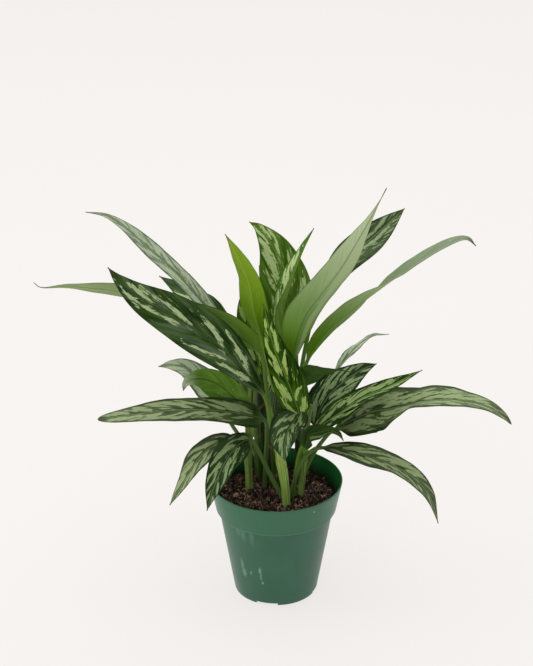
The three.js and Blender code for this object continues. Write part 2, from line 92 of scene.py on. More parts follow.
# Rubbed and splashed marks on the wall: the angle round from the front in degrees, the height, half the width
# and half the height, and how pale
MARK_RADIUS = 0.062
POT_MARKS = [
    (-43, 0.053, 0.0026, 0.009, 0.28),
    (-41.5, 0.043, 0.0034, 0.0065, 0.34),
    (-31.3, 0.0455, 0.0014, 0.0028, 0.4),
    (-19.2, 0.0515, 0.0019, 0.0044, 0.46),
    (-18.6, 0.0435, 0.0016, 0.0055, 0.3),
    (-16.8, 0.0338, 0.0017, 0.0022, 0.5),
    (34.5, 0.1363, 0.0009, 0.0009, 1.0),
    (-42, 0.103, 0.003, 0.007, 0.12),
    (-36, 0.1, 0.0036, 0.009, 0.12),
    (-26, 0.1, 0.003, 0.01, 0.12),
]

# Soil, in metres
SOIL_TOP = 0.125
SOIL_MOUND = 0.002
SOIL_EDGE_FALL = 0.0025
SOIL_GAP = 0.0006
SOIL_RADIUS = 0.0722
SOIL_RINGS = 120
SOIL_SIDES = 400
# Its broad swells, its pits and the bends of its lumps: how many to the metre, and their height
SWELLS = (55, 0.0022)
PITS = (900, 0.0005)
LUMP_BENDS = (320, 0.0016)
# The size and the height of its coarse and its fine lumps
COARSE_LUMPS = (0.0066, 0.0034)
FINE_LUMPS = (0.0027, 0.0012)
LUMP_GAP = 0.45
# How far below SOIL_TOP the painted shade in its gaps is darkest, and how high its lumps stand over them
SOIL_RELIEF = (0.003, 0.006)
# What lies on it keeps to this share of its radius, and no fibre passes the second
LOOSE_REACH = 0.965
FIBRE_REACH = 0.985
# Fibres that lie on it: the shortest and the longest, and likewise their half thickness and their arch
FIBRE_COUNT = 420
FIBRE_LENGTHS = (0.004, 0.012)
FIBRE_THICKNESS = (0.00016, 0.00045)
FIBRE_ARCH = (0.0004, 0.0016)
FIBRE_CURL = 2.2
FIBRE_WANDER = 0.25
FIBRE_LIFT = 0.0001
FIBRE_STEPS = 6
# Tufts of pale fibre: how far they scatter in x, y and degrees, and each one's middle, heading in degrees and
# number of fibres
TUFT_SPREAD = (0.004, 0.0035, 35)
FIBRE_TUFTS = [
    (-0.043, -0.005, -12, 16), (-0.034, -0.021, 20, 9), (0.059, -0.008, 60, 9), (0.022, -0.03, 10, 6),
]
CRUMB_COUNT = 800
CRUMB_SIZES = (0.0008, 0.003)
# How flat crumbs are, and how many times as long as wide
CRUMB_FLATNESS = (0.4, 0.9)
CRUMB_LENGTHS = (1, 1.9)
CRUMB_LIFT = 0.3
CRUMB_ROUGHNESS = 0.5
CRUMB_RINGS = 5
CRUMB_SIDES = 8
# Larger chips: each middle, half its length, its heading in degrees, and how pale it is
CHIPS = [
    (-0.047, -0.004, 0.0042, 35, 1.0), (0.003, -0.038, 0.0034, 80, 0.45), (0.008, -0.041, 0.003, 10, 0.4),
]

# Canes: each line in millimetres, and its radii, evenly from its foot to its top
CANES = {
    "cane_front": dict(
        look="fresh_cane", radii=[4.4, 4.8, 6, 3.4, 2.5],
        route=[(12, -28, 104), (11, -28, 140), (5, -27, 185), (-3, -25, 224), (-9, -23, 256)],
    ),
    "cane_right": dict(
        look="green_cane", radii=[3.8, 3.8, 4.4, 3.8, 2.8],
        route=[(29, -2, 104), (30, -1, 140), (33, 1, 180), (36, 3, 214), (40, 5, 240)],
    ),
    "cane_left": dict(
        look="green_cane", radii=[4.4, 4.4, 4.8, 5.2, 5.6],
        route=[(-31, 12, 104), (-32, 13, 140), (-33, 14, 175), (-31, 14, 208), (-28, 15, 258)],
    ),
    "cane_middle": dict(
        look="shaded_cane", radii=[8.4, 10.4, 11.4, 9.4],
        route=[(2, 22, 104), (0.5, 22, 150), (1, 21, 205), (5, 18, 262)],
    ),
    "cane_back_left": dict(
        look="shaded_cane", radii=[6.4, 7.8, 8.2, 5.6],
        route=[(-19, 42, 104), (-18, 43, 150), (-18, 43, 212), (-18, 41, 274)],
    ),
    "cane_back_right": dict(
        look="shaded_cane", radii=[4.4, 4.6, 3.4],
        route=[(26, 40, 104), (27, 42, 150), (26, 42, 214)],
    ),
}
CANE_SIDES = 48
CANE_STEPS = 90
# Coarse and fine ribs: how many go round, how far they turn from foot to top, and their height
CANE_RIBS = (9, 2, 0.28 * MM)
FINE_RIBS = (17, 5, 0.112 * MM)
# The shares of the cane between which each sheath ends, and how far its end slants, fades and stands out
SHEATH_ENDS = [(0.2, 0.3), (0.42, 0.52), (0.62, 0.7), (0.8, 0.86)]
SHEATH_SLANT = 0.05
SHEATH_FADE = 0.012
SHEATH_REACH = 0.2
SHEATH_THICKNESS = 0.5 * MM
CANE_INSET = 0.3 * MM

# Leaves: each line in millimetres runs from the foot of the stalk to the drip tip, and the blade begins at
# its point number "blade". "facing" is where the upper side looks, evenly from the blade's foot to its tip.
# "fold" is how steeply each half rises from the midrib, "belly" how far along the blade it is widest, and
# "taper" sharpens the tip. Shares run from 0 at the blade's foot to 1 at its tip, and places from -1 to 1
# across it, with 1 on the right of someone who looks from the foot to the tip at the upper side.
LEAF_DEFAULTS = dict(blade=2, fold=0.25, belly=0.38, taper=1.1)
LEAVES = {
    "left_broad": dict(
        look="dark", width=52, fold=0.2, belly=0.5,
        facing=[(0.35, -0.75, 0.3), (0.3, -0.75, 0.35), (0.3, -0.7, 0.5)],
        route=[(-4, -26, 222), (-8, -32, 242), (-13, -36, 270), (-32, -46, 304), (-61, -56, 342),
            (-108, -70, 384), (-148, -80, 414), (-170, -82, 435), (-182, -84, 452)],
    ),
    "left_high": dict(
        look="grey", width=27, fold=0.2, belly=0.45,
        facing=[(0.3, -0.35, 0.85), (0.3, -0.35, 0.85), (0, -0.3, 0.95)],
        route=[(-31, 15, 205), (-38, 20, 250), (-48, 24, 298), (-72, 30, 340), (-111, 42, 386),
            (-156, 56, 425), (-179, 62, 443), (-197, 66, 452), (-218, 70, 454)],
    ),
    "left_level": dict(
        look="dark", width=46, fold=0.15, belly=0.3,
        facing=[(0.3, 0.9, 0.1), (0.2, 0.75, 0.5), (0.1, 0.6, 0.7)],
        route=[(-8, -23, 246), (-12, -22, 282), (-18, -22, 319), (-47, -30, 347), (-80, -38, 368),
            (-150, -50, 403), (-221, -54, 416), (-256, -55, 415), (-266, -55, 421)],
    ),
    "left_hidden": dict(
        look="dark", width=34, facing=[(0.2, -0.4, 0.8)],
        route=[(-25, 46, 196), (-38, 50, 245), (-52, 54, 300), (-83, 72, 333), (-113, 90, 348),
            (-138, 105, 359)],
    ),
    "up_left_green": dict(
        look="fresh", width=36, fold=0.3, belly=0.5,
        facing=[(0.5, 0.8, 0.3), (0.5, 0.8, 0.3), (0.6, 0.7, 0.3)],
        route=[(1, 17, 246), (-6, 8, 272), (-10, 2, 294), (-18, -6, 335), (-26, -10, 368), (-31, -14, 401),
            (-40, -18, 427), (-49, -20, 449), (-57, -22, 465)],
    ),
    "up_left_back": dict(
        look="young", width=28, belly=0.34, facing=[(0, -1, 0.2)],
        route=[(-20, 44, 207), (-18, 39, 245), (-19, 37, 268), (-29, 33, 312), (-36, 33, 352),
            (-31, 36, 388)],
    ),
    "up_back_broad": dict(
        look="lime", width=60, fold=0.15, facing=[(0.1, -0.95, 0.25), (0.1, -0.95, 0.25), (0.1, -0.9, 0.4)],
        route=[(8, 21, 250), (17, 22, 284), (17, 20, 303), (14, 24, 339), (11, 30, 374), (5, 34, 400),
            (-4, 36, 425), (-19, 36, 447), (-31, 36, 456)],
    ),
    "up_back_dark": dict(
        look="dark", width=36, facing=[(0.2, -0.9, 0.3)],
        route=[(8, 26, 228), (0, 34, 254), (-3, 38, 275), (-3, 44, 302), (-7, 50, 340), (-11, 54, 370),
            (-17, 58, 399)],
    ),
    "up_centre_folded": dict(
        look="lime", width=36, fold=0.9, facing=[(-0.85, -0.1, 0.3)],
        route=[(4, 15, 256), (3, 6, 280), (5, 0, 300), (7, -5, 359), (15, -8, 395), (27, -10, 434),
            (41, -10, 467)],
    ),
    "up_right_green": dict(
        look="green", width=54, fold=0.3, belly=0.42, taper=2, facing=[(-0.45, 0.8, 0.4)],
        route=[(8, 15, 238), (13, -4, 268), (15, -15, 288), (21, -24, 331), (31, -34, 370), (50, -44, 404),
            (71, -52, 439), (97, -66, 495), (107, -72, 519), (116, -76, 540)],
    ),
    "up_right_back": dict(
        look="lined", width=36, belly=0.55, facing=[(-0.1, -0.85, 0.5)],
        route=[(26, 43, 210), (30, 44, 270), (45, 47, 347), (60, 50, 375), (81, 56, 403), (110, 60, 427),
            (146, 64, 461)],
    ),
    "right_long": dict(
        look="green", width=42, fold=0.35, belly=0.45,
        facing=[(-0.3, 0.9, 0.3), (-0.35, 0.6, 0.7), (-0.3, 0.05, 0.95), (-0.3, -0.35, 0.9)],
        route=[(10, 20, 232), (24, 20, 262), (34, 18, 286), (43, 16, 308), (58, 12, 331), (80, 6, 355),
            (108, 0, 382), (139, -6, 410), (166, -10, 433), (194, -14, 452), (210, -16, 457),
            (220, -18, 449)],
    ),
    "right_thin": dict(
        look="grey", width=16, facing=[(-0.2, 0.2, 0.95), (-0.2, 0.2, 0.95), (0, 0.1, 0.95)],
        route=[(29, 42, 194), (44, 50, 222), (58, 57, 240), (70, 62, 253), (80, 70, 265), (91, 80, 274),
            (103, 92, 279), (118, 108, 280), (136, 124, 274)],
    ),
    "right_arched_dark": dict(
        look="deep", width=38, belly=0.3, facing=[(0, 0.75, 0.6), (0, 0.75, 0.6), (0, 0.6, 0.8)],
        route=[(8, 15, 218), (20, 3, 248), (31, -10, 271), (35, -24, 289), (43, -42, 304), (60, -70, 322),
            (82, -98, 333)],
    ),
    "right_back_silver": dict(
        look="shaded", width=42, facing=[(0, -0.75, 0.65), (-0.35, -0.75, 0.55), (-0.2, -0.7, 0.7)],
        route=[(35, 3, 205), (40, 6, 198), (45, 10, 206), (51, 20, 225), (63, 32, 240), (81, 46, 251),
            (101, 60, 258), (119, 70, 261)],
    ),
    "right_bright": dict(
        look="bright", blade=3, width=32, fold=0.3,
        facing=[(-0.3, -0.45, 0.85), (-0.3, -0.35, 0.9), (-0.3, -0.35, 0.9)],
        route=[(21, -1, 104), (22, -1, 140), (27, -6, 182), (37, -12, 205), (50, -18, 223), (73, -26, 246),
            (97, -34, 269), (126, -42, 287), (163, -50, 312)],
    ),
    "right_drooping": dict(
        look="silver", blade=3, width=52, fold=0.3, belly=0.4, taper=0.7,
        facing=[(0, -0.8, 0.6), (0, -0.9, 0.5), (0.1, -0.1, 1), (0.1, 0, 1), (0.4, -0.2, 0.9)],
        route=[(32, 0, 150), (42, 1, 175), (57, -1, 200), (68, -5, 213), (105, -22, 243), (125, -34, 254),
            (144, -44, 264), (165, -52, 274), (193, -60, 280), (219, -66, 279), (237, -70, 275),
            (254, -73, 265), (263, -74, 256)],
    ),
    "right_small": dict(
        look="deep", width=19, facing=[(-0.05, -0.65, 0.75), (-0.05, -0.65, 0.75), (0.3, -0.4, 0.9)],
        route=[(33, -2, 172), (33, -13, 184), (33, -22, 196), (38, -32, 219), (49, -38, 227), (60, -44, 232),
            (70, -51, 232), (76, -57, 226)],
    ),
    "right_low": dict(
        look="silver", blade=4, width=34, facing=[(0.1, -0.2, 0.95), (0.2, -0.35, 0.9), (0.6, -0.5, 0.6)],
        route=[(17, -8, 104), (19, -9, 135), (27, -14, 168), (38, -19, 190), (50, -24, 199), (76, -38, 204),
            (101, -52, 204), (127, -66, 202), (147, -80, 197), (163, -90, 187), (174, -100, 174),
            (182, -110, 149)],
    ),
    "front_upright": dict(
        look="young", width=38, belly=0.3, facing=[(0.35, -0.9, 0.2)],
        route=[(-1, -26, 212), (12, -38, 230), (26, -44, 247), (18, -49, 281), (7, -51, 313), (-4, -51, 344),
            (-15, -47, 392)],
    ),
    "front_small": dict(
        look="shaded", width=46, fold=0.4, belly=0.34,
        facing=[(-0.65, -0.7, 0.5), (-0.65, -0.7, 0.5), (-0.4, -0.7, 0.6)],
        route=[(5, -28, 200), (18, -52, 229), (27, -65, 264), (14, -81, 255), (9, -97, 244), (9, -110, 229)],
    ),
    "left_low_outer": dict(
        look="silver", width=30, facing=[(0, -0.3, 0.95), (-0.4, -0.6, 0.7), (-0.7, -0.6, 0.3)],
        route=[(-34, 11, 192), (-37, 2, 203), (-46, -12, 208), (-60, -28, 211), (-75, -42, 210),
            (-89, -56, 202), (-102, -70, 186), (-121, -90, 161)],
    ),
    "left_low_inner": dict(
        look="shaded", blade=3, width=36, facing=[(0.1, -0.8, 0.5), (-0.3, -0.8, 0.5), (-0.5, -0.85, 0.1)],
        route=[(7, -24, 134), (-8, -18, 162), (-22, -24, 198), (-30, -32, 214), (-44, -50, 216),
            (-57, -72, 209), (-69, -98, 193), (-78, -116, 169)],
    ),
    "left_mid_silver": dict(
        look="silver", blade=3, width=34, fold=0.15, belly=0.3, taper=0.5,
        facing=[(0.4, -0.6, 0.7), (0, -0.45, 0.9), (0, -0.45, 0.9)],
        route=[(-14, 17, 104), (-13, 16, 150), (-11, 4, 205), (-14, -10, 228), (-30, -20, 239),
            (-55, -30, 249), (-87, -42, 258), (-120, -52, 262), (-154, -60, 262), (-201, -66, 258)],
    ),
    "left_curl_silver": dict(
        look="grey", width=36, facing=[(0.2, -0.6, 0.75), (0.2, -0.6, 0.75), (-0.2, -0.7, 0.7)],
        route=[(-32, 15, 170), (-42, 14, 192), (-53, 14, 211), (-63, 22, 231), (-83, 34, 251),
            (-104, 42, 268), (-122, 44, 272), (-138, 46, 269)],
    ),
    "left_curl_green": dict(
        look="plain", width=36, fold=0.2, belly=0.36, taper=0.9,
        facing=[(-0.3, -0.9, 0.35), (-0.3, -0.9, 0.35), (-0.2, -0.8, 0.55)],
        route=[(-28, 12, 196), (-27, 4, 221), (-34, -2, 237), (-44, -5, 249), (-58, -12, 268),
            (-71, -23, 283), (-83, -34, 293), (-95, -44, 297), (-102, -50, 295), (-105, -54, 288)],
    ),
    "back_high": dict(
        look="dark", blade=1, width=46, facing=[(0, -0.5, 0.85), (0, -0.1, 1), (0, 0.5, 0.85)],
        route=[(4, 24, 248), (8, 44, 280), (8, 70, 316), (2, 108, 342), (-8, 150, 350), (-14, 186, 330)],
    ),
    "back_middle": dict(
        look="shaded", blade=1, width=42, facing=[(0, -0.4, 0.9), (0, 0.1, 1), (0, 0.6, 0.8)],
        route=[(4, 26, 222), (-2, 50, 250), (-8, 82, 276), (-16, 120, 288), (-24, 152, 280),
            (-30, 176, 256)],
    ),
    "back_left": dict(
        look="bright", blade=1, width=42, facing=[(0.3, -0.3, 0.9), (0.1, 0, 1), (-0.3, 0.4, 0.85)],
        route=[(-22, 48, 185), (-34, 64, 222), (-52, 90, 264), (-75, 130, 288), (-94, 164, 284),
            (-105, 188, 262)],
    ),
    "back_right": dict(
        look="silver", width=38, facing=[(-0.2, -0.3, 0.9), (0, 0.1, 1), (0.1, 0.5, 0.85)],
        route=[(27, 44, 180), (26, 64, 228), (24, 92, 270), (27, 132, 298), (30, 166, 294), (32, 192, 272)],
    ),
    "back_low_left": dict(
        look="dark", blade=1, width=36, facing=[(-0.1, 0, 1), (-0.3, 0.3, 0.9), (-0.6, 0.6, 0.5)],
        route=[(-24, 47, 150), (-38, 66, 186), (-60, 98, 200), (-85, 126, 187), (-105, 148, 162),
            (-116, 162, 136)],
    ),
    "back_low_right": dict(
        look="shaded", blade=1, width=38, facing=[(0.1, 0, 1), (0.3, 0.3, 0.9), (0.6, 0.6, 0.5)],
        route=[(28, 43, 168), (40, 64, 196), (58, 94, 208), (82, 124, 202), (102, 150, 180),
            (114, 166, 152)],
    ),
    "back_low_middle": dict(
        look="bright", blade=1, width=38, facing=[(0, 0, 1), (0, 0.3, 0.9), (0, 0.7, 0.6)],
        route=[(-21, 48, 166), (-14, 68, 198), (-4, 100, 218), (6, 136, 214), (14, 166, 192),
            (18, 186, 162)],
    ),
}
WAVE_HEIGHT = 1.6 * MM
WAVES = 2.2
WAVE_STEP = 0.37
WAVE_SIDE_SHIFT = 0.3
EDGE_BEND = 0.35
OPENED_BY = 0.08
STALK_RADIUS = 2.3 * MM
STALK_FLARE = 0.35
# How deep the groove along a stalk is, as a share of its radius, and how wide, as an angle
STALK_GROOVE = (0.3, 0.5)
TIP_HALF_WIDTH = 0.6 * MM
EDGE_THICKNESS = 0.45 * MM
RIB_THICKNESS = 2.6 * MM
RIB_FADE = 0.6
RIB_SPREAD = 0.25
GROOVE_DEPTH = 0.45 * MM
GROOVE_WIDTH = 1.5 * MM
QUILT_DEPTH = 0.16 * MM
QUILT_PITCH = 5.5 * MM
QUILT_REACH = 1.1
RIPPLE_HEIGHT = 0.2 * MM
RIPPLES = 9
RIPPLE_SLANT = 0.2
BLADE_RINGS = 110
STALK_RINGS = 16
BLADE_PLACES = np.array([t * abs(t) ** 0.3 for t in np.linspace(-1, 1, 27)])

# Side veins leave the midrib at a shallow angle and bend forward to the margin
VEIN_FORWARD = 2.4
VEIN_BEND = 1.1
VEIN_SINE = 0.36

# How deep a point without any streak counts, and how much a streak thins towards its end
NO_STREAK = -3.0
STREAK_THINNING = 0.75
# Streaks by rule: by how much their inner and outer ends, their widths and their distances vary, the share of
# the blade where the last may begin, and how far ahead of its beginning the blade's width is read for one
STREAK_INNER = (0.7, 1.6)
STREAK_OUTER = (0.75, 1.05)
STREAK_HALF = (0.6, 1.25)
STREAK_PITCH = (0.7, 1.3)
LAST_STREAK = 0.92
STREAK_AHEAD = 0.12

# The looks of the leaves. "cover" is how pale a blade is at its foot and its tip (-1 not, 1 all over). Its
# pale streaks are "pitch" millimetres apart, and each is "half" that many wide on both sides of a line,
# from one place on the blade to another, its "reach". "blotch" is the size in millimetres of the patches
# that break them up, across the veins and along them, and "teeth" how jagged they are. The upper side has
# two "shades", the "pale" of the streaks, "rib" for the midrib, and "soft" for the tone round the streaks,
# which is as strong as "halo"; "soft" is also laid in patches as a painted sheen. It takes painted shade by
# "foot" at its foot, where the leaves above shade it, and from share haze[0] it greys by haze[1] to its tip.
# "under" is the underside at its foot and its tip, where the streaks show by "showing", and "gloss" is how
# strongly both sides shine.
LOOK_DEFAULTS = dict(
    cover=(-4, -4), pitch=60, half=0.2, reach=(0.12, 0.86), blotch=(5.4, 19), teeth=3, halo=0.25, foot=0,
    haze=(0, 0), showing=0.14, gloss=0.06,
)
LOOKS = {
    "dark": dict(
        cover=(-1.6, -1.3), pitch=30, half=2.6, reach=(0.12, 0.82), teeth=4.6, halo=0.15, gloss=0.09,
        shades=((16, 44, 0), (56, 84, 30)), pale=(168, 186, 136), rib=(54, 80, 36), soft=(108, 126, 98),
        under=((92, 126, 38), (148, 168, 116)), stalk=(96, 126, 54),
    ),
    "deep": dict(
        reach=(0.2, 0.5),
        shades=((34, 58, 18), (50, 76, 28)), pale=(112, 140, 76), rib=(72, 98, 46), soft=(66, 90, 46),
        under=((58, 88, 30), (48, 72, 28)), stalk=(90, 122, 50),
    ),
    "plain": dict(
        reach=(0.2, 0.5), haze=(0.74, 0.72),
        shades=((84, 120, 34), (102, 144, 54)), pale=(176, 196, 150), rib=(44, 74, 16), soft=(100, 134, 66),
        under=((196, 210, 172), (206, 218, 184)), stalk=(110, 140, 64),
    ),
    "green": dict(
        cover=(-2.2, -1.6), pitch=40, half=1.6, reach=(0.12, 0.85), blotch=(3.6, 30), teeth=3.4,
        shades=((60, 90, 28), (82, 112, 46)), pale=(180, 200, 152), rib=(66, 96, 40), soft=(110, 134, 80),
        under=((92, 134, 20), (194, 210, 170)), stalk=(104, 136, 56), haze=(0, 0.4), showing=0.42,
    ),
    # A young leaf's yellow-green, made brighter still as painted light that comes through the thin blade
    "fresh": dict(
        reach=(0.2, 0.5), blotch=(5.4, 24),
        shades=((80, 112, 16), (132, 162, 50)), pale=(156, 180, 96), rib=(150, 180, 70), soft=(140, 168, 84),
        under=((92, 132, 12), (130, 162, 40)), stalk=(118, 150, 52),
    ),
    "young": dict(
        cover=(-1.2, -1.0), pitch=22, half=3.0, reach=(0.1, 0.85), blotch=(5.4, 17), teeth=4.6, halo=0.2,
        shades=((12, 40, 0), (58, 94, 12)), pale=(164, 190, 106), rib=(96, 130, 50), soft=(80, 114, 34),
        under=((80, 118, 34), (104, 142, 50)), stalk=(112, 146, 52), foot=0.1, gloss=0.04,
    ),
    "lime": dict(
        cover=(-0.9, -0.4), pitch=20, half=3.0, reach=(0.1, 0.85), blotch=(5.4, 17), teeth=3.6, halo=0.3,
        shades=((56, 94, 12), (90, 128, 34)), pale=(194, 214, 152), rib=(112, 142, 66), soft=(118, 148, 76),
        under=((100, 146, 16), (128, 170, 44)), stalk=(112, 146, 52),
    ),
    "bright": dict(
        cover=(-0.4, -0.1), pitch=24, half=2.6, blotch=(5, 15), halo=0.4, foot=0.1,
        shades=((14, 40, 0), (38, 68, 12)), pale=(154, 180, 116), rib=(130, 156, 92), soft=(70, 94, 46),
        under=((80, 112, 42), (110, 140, 74)), stalk=(106, 140, 54),
    ),
    "silver": dict(
        cover=(-1.2, 0.1), pitch=22, half=2.8, blotch=(6.5, 18), teeth=2.2, halo=0.8, foot=0.5, haze=(0, 0.1),
        shades=((20, 42, 4), (46, 70, 22)), pale=(152, 169, 120), rib=(112, 132, 84), soft=(90, 110, 64),
        under=((92, 120, 60), (122, 146, 92)), stalk=(84, 112, 56), gloss=0.09,
    ),
    # The silver look darkened as painted shade, for leaves that lie in the shade of others
    "shaded": dict(
        cover=(-0.9, -0.2), pitch=24, half=2.4, blotch=(5, 14), teeth=2.6, halo=0.6, foot=0.4,
        shades=((14, 34, 4), (36, 58, 18)), pale=(126, 148, 100), rib=(90, 110, 72), soft=(58, 76, 48),
        under=((80, 106, 52), (100, 124, 74)), stalk=(78, 104, 52),
    ),
    "lined": dict(
        cover=(-0.6, -0.3), pitch=14, half=1.4, reach=(0.1, 0.9), blotch=(3.6, 28), teeth=4, halo=0.5,
        shades=((38, 58, 28), (64, 84, 48)), pale=(152, 170, 130), rib=(106, 130, 84), soft=(92, 112, 74),
        under=((80, 112, 54), (112, 140, 86)), stalk=(92, 124, 56), gloss=0.09,
    ),
    # A silvery leaf, whose pale grey is partly its own and partly painted sheen, the glare of light on it
    "grey": dict(
        cover=(0.0, 0.4), pitch=20, half=2.6, reach=(0.1, 0.88), blotch=(3.6, 32), teeth=3.4, halo=0.6,
        shades=((54, 76, 42), (84, 104, 68)), pale=(166, 182, 148), rib=(88, 108, 70), soft=(134, 150, 122),
        under=((120, 144, 96), (156, 172, 136)), stalk=(96, 122, 70), haze=(0, 0.2), gloss=0.12,
    ),
}
HAZE = (182, 190, 172)
TIP_COLOUR = (66, 72, 40)
VEIN_SHADE = (176, 190, 150)

# Streaks listed where the photograph shows them best: half the width in millimetres, then the line as
# (share, place) points. These leaves have none by rule.
STREAKS = {
    "left_broad": [
        (3.0, (0.15, 0.03), (0.24, 0.35), (0.38, 0.7)), (2.6, (0.33, -0.05), (0.42, 0.4), (0.55, 0.73)),
        (2.6, (0.54, 0.06), (0.66, 0.35), (0.84, 0.86)), (3.6, (0.75, 0.05), (0.82, 0.33), (0.89, 0.46)),
        (2.0, (0.15, -0.35), (0.24, -0.6), (0.36, -0.78)), (1.4, (0.3, -0.38), (0.42, -0.6), (0.56, -0.72)),
        (2.0, (0.59, -0.17), (0.7, -0.35), (0.86, -0.45)), (1.2, (0.79, -0.6), (0.9, -0.5)),
    ],
    "up_back_broad": [
        (1.5, (0.35, -0.22), (0.55, -0.6)), (3.0, (0.5, -0.22), (0.62, -0.46), (0.78, -0.81)),
        (4.0, (0.63, -0.22), (0.72, -0.38), (0.9, -0.75)), (5.0, (0.8, -0.22), (0.9, -0.3), (0.96, -0.5)),
        (2.6, (0.63, 0.0), (0.7, 0.08), (0.8, 0.5), (0.86, 0.65)), (2.2, (0.38, 0.5), (0.5, 0.76)),
        (2.2, (0.58, 0.42), (0.72, 0.7)), (4.0, (0.83, 0.1), (0.92, 0.27)), (3.0, (0.1, 0.15), (0.3, 0.7)),
        (3.0, (0.1, -0.15), (0.3, -0.7)),
    ],
    "front_upright": [
        (2.2, (0.04, -0.29), (0.15, -0.58), (0.28, -0.77)), (3.6, (0.22, -0.24), (0.32, -0.5), (0.45, -0.88)),
        (4.2, (0.48, -0.24), (0.6, -0.5), (0.75, -0.88)), (4.0, (0.75, -0.13), (0.85, -0.24), (0.93, -0.4)),
        (3.0, (0.06, 0.3), (0.12, 0.5), (0.17, 0.73)), (2.2, (0.18, 0.08), (0.25, 0.3), (0.27, 0.7)),
        (2.4, (0.38, 0.08), (0.5, 0.3), (0.6, 0.7)), (2.6, (0.62, 0.1), (0.76, 0.6)),
    ],
    "right_bright": [
        (2.2, (0.13, -0.3), (0.3, -0.49), (0.45, -0.8)), (4.0, (0.42, -0.16), (0.55, -0.38), (0.78, -0.65)),
        (2.2, (0.5, 0.16), (0.7, 0.4)), (3.6, (0.62, -0.15), (0.8, -0.5)), (2.4, (0.25, 0.15), (0.42, 0.6)),
        (2.4, (0.12, 0.2), (0.25, 0.7)), (2.4, (0.7, 0.15), (0.86, 0.5)),
    ],
    # The wide streak on up_right_green is painted light: the half of its folded blade that faces the light,
    # drawn paler
    "up_right_green": [(8.5, (0.97, -0.4), (0.62, -0.56), (0.35, -0.66), (0.1, -0.74))],
    "right_long": [],
    "up_right_back": [
        (3.2, (0.55, 0.2), (0.7, 0.25), (0.93, 0.1)), (1.4, (0.62, -0.25), (0.7, -0.3)),
        (2.0, (0.2, -0.2), (0.4, -0.6)), (2.0, (0.2, 0.2), (0.4, 0.7)),
    ],
    "front_small": [
        (2.2, (0.2, 0.12), (0.3, 0.45), (0.42, 0.8)), (2.0, (0.36, 0.1), (0.46, 0.4), (0.6, 0.75)),
        (2.0, (0.52, 0.08), (0.62, 0.25), (0.8, 0.5)), (2.2, (0.1, -0.2), (0.2, -0.5), (0.32, -0.75)),
        (2.4, (0.3, -0.12), (0.42, -0.4), (0.55, -0.7)), (2.0, (0.5, -0.1), (0.62, -0.35), (0.78, -0.5)),
    ],
    "right_small": [(1.6, (0.35, 0.45), (0.6, 0.75), (0.8, 0.8))],
}


def unit(vectors):
    return vectors / np.linalg.norm(vectors, axis=-1, keepdims=True)


def smooth(share):
    return share * share * (3 - 2 * share)


def lerp(a, b, share):
    return a + (b - a) * share


def along_list(values, shares):
    """Values at shares of the way through a list of numbers or vectors."""
    values = np.array(values, float)
    marks = np.linspace(0, 1, len(values))
    if values.ndim == 1:
        return np.interp(shares, marks, values)
    return np.stack([np.interp(shares, marks, column) for column in values.T], -1)


class Line:
    """The smooth curve through a route in millimetres, which can be read at any distance from its foot."""

    STEPS = 60

    def __init__(self, route):
        points = np.array(route, float) * MM
        padded = np.vstack([2 * points[0] - points[1], points, 2 * points[-1] - points[-2]])
        spans = len(points) - 1
        place = np.linspace(0, spans, spans * self.STEPS + 1)
        first = np.minimum(place.astype(int), spans - 1)
        t = (place - first)[:, None]
        a, b, c, d = (padded[first + k] for k in range(4))
        bends = (2 * a - 5 * b + 4 * c - d) * t**2 + (3 * b - a - 3 * c + d) * t**3
        self.points = (2 * b + (c - a) * t + bends) / 2
        steps = np.linalg.norm(np.diff(self.points, axis=0), axis=1)
        self.distances = np.concatenate([[0], np.cumsum(steps)])
        self.length = self.distances[-1]
        self.tangents = unit(np.gradient(self.points, self.distances, axis=0))

    def distance_at(self, point_number):
        return self.distances[point_number * self.STEPS]

    def read(self, distances):
        """The points and the directions at these distances."""
        points, tangents = (
            np.stack([np.interp(distances, self.distances, column) for column in table.T], -1)
            for table in (self.points, self.tangents)
        )
        return points, unit(tangents)


def mesh_object(name, points, faces, materials, attributes=None, face_materials=None, sharp=50):
    """A smooth-shaded mesh object, with float or vector attributes on its points."""
    mesh = bpy.data.meshes.new(name)
    points = np.array(points, float).reshape(-1, 3)
    mesh.from_pydata([tuple(point) for point in points], [], faces)
    for key, values in (attributes or {}).items():
        values = np.array(values, np.float32)
        kind, field = ("FLOAT", "value") if values.size == len(points) else ("FLOAT_VECTOR", "vector")
        mesh.attributes.new(key, kind, "POINT").data.foreach_set(field, values.ravel())
    for material in materials:
        mesh.materials.append(material)
    if face_materials:
        mesh.polygons.foreach_set("material_index", np.array(face_materials, np.int32))
    shade(mesh, sharp)
    mesh.update()
    piece = bpy.data.objects.new(name, mesh)
    bpy.context.scene.collection.objects.link(piece)
    return piece


def shade(mesh, sharp):
    """Shades a mesh smooth, except over edges that bend by more than this many degrees."""
    mesh.polygons.foreach_set("use_smooth", [True] * len(mesh.polygons))
    mesh.set_sharp_from_angle(angle=math.radians(sharp))


def place_piece(piece, slot, *nodes):
    """Fixes a piece to the part's one body, in place of the nodes that it stands for."""
    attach(piece, "root")
    if nodes:
        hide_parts(*nodes)


def sweep(frames, side, rise):
    """Points ring by ring, at these distances across and over the centres of the frames."""
    centres, across, up = (vectors[:, None] for vectors in frames)
    return centres + across * side[..., None] + up * rise[..., None]


def band_faces(rings, sides, first=0):
    """The faces between rings of points, which face out where the rings run clockwise."""
    faces = []
    for start in range(first, first + (rings - 1) * sides, sides):
        for side in range(sides):
            a, b = start + side, start + (side + 1) % sides
            faces.append((a, b, b + sides, a + sides))
    return faces


def tube_faces(rings, sides, first=0):
    """The faces of a tube of rings, closed at both ends."""
    last = first + (rings - 1) * sides
    ends = [tuple(range(first + sides - 1, first - 1, -1)), tuple(range(last, last + sides))]
    return band_faces(rings, sides, first) + ends


def circle(radius, sides, height):
    """Points round the pot's axis."""
    angles = 2 * math.pi * np.arange(sides) / sides
    return [(radius * math.cos(angle), radius * math.sin(angle), height) for angle in angles]


# Leaves


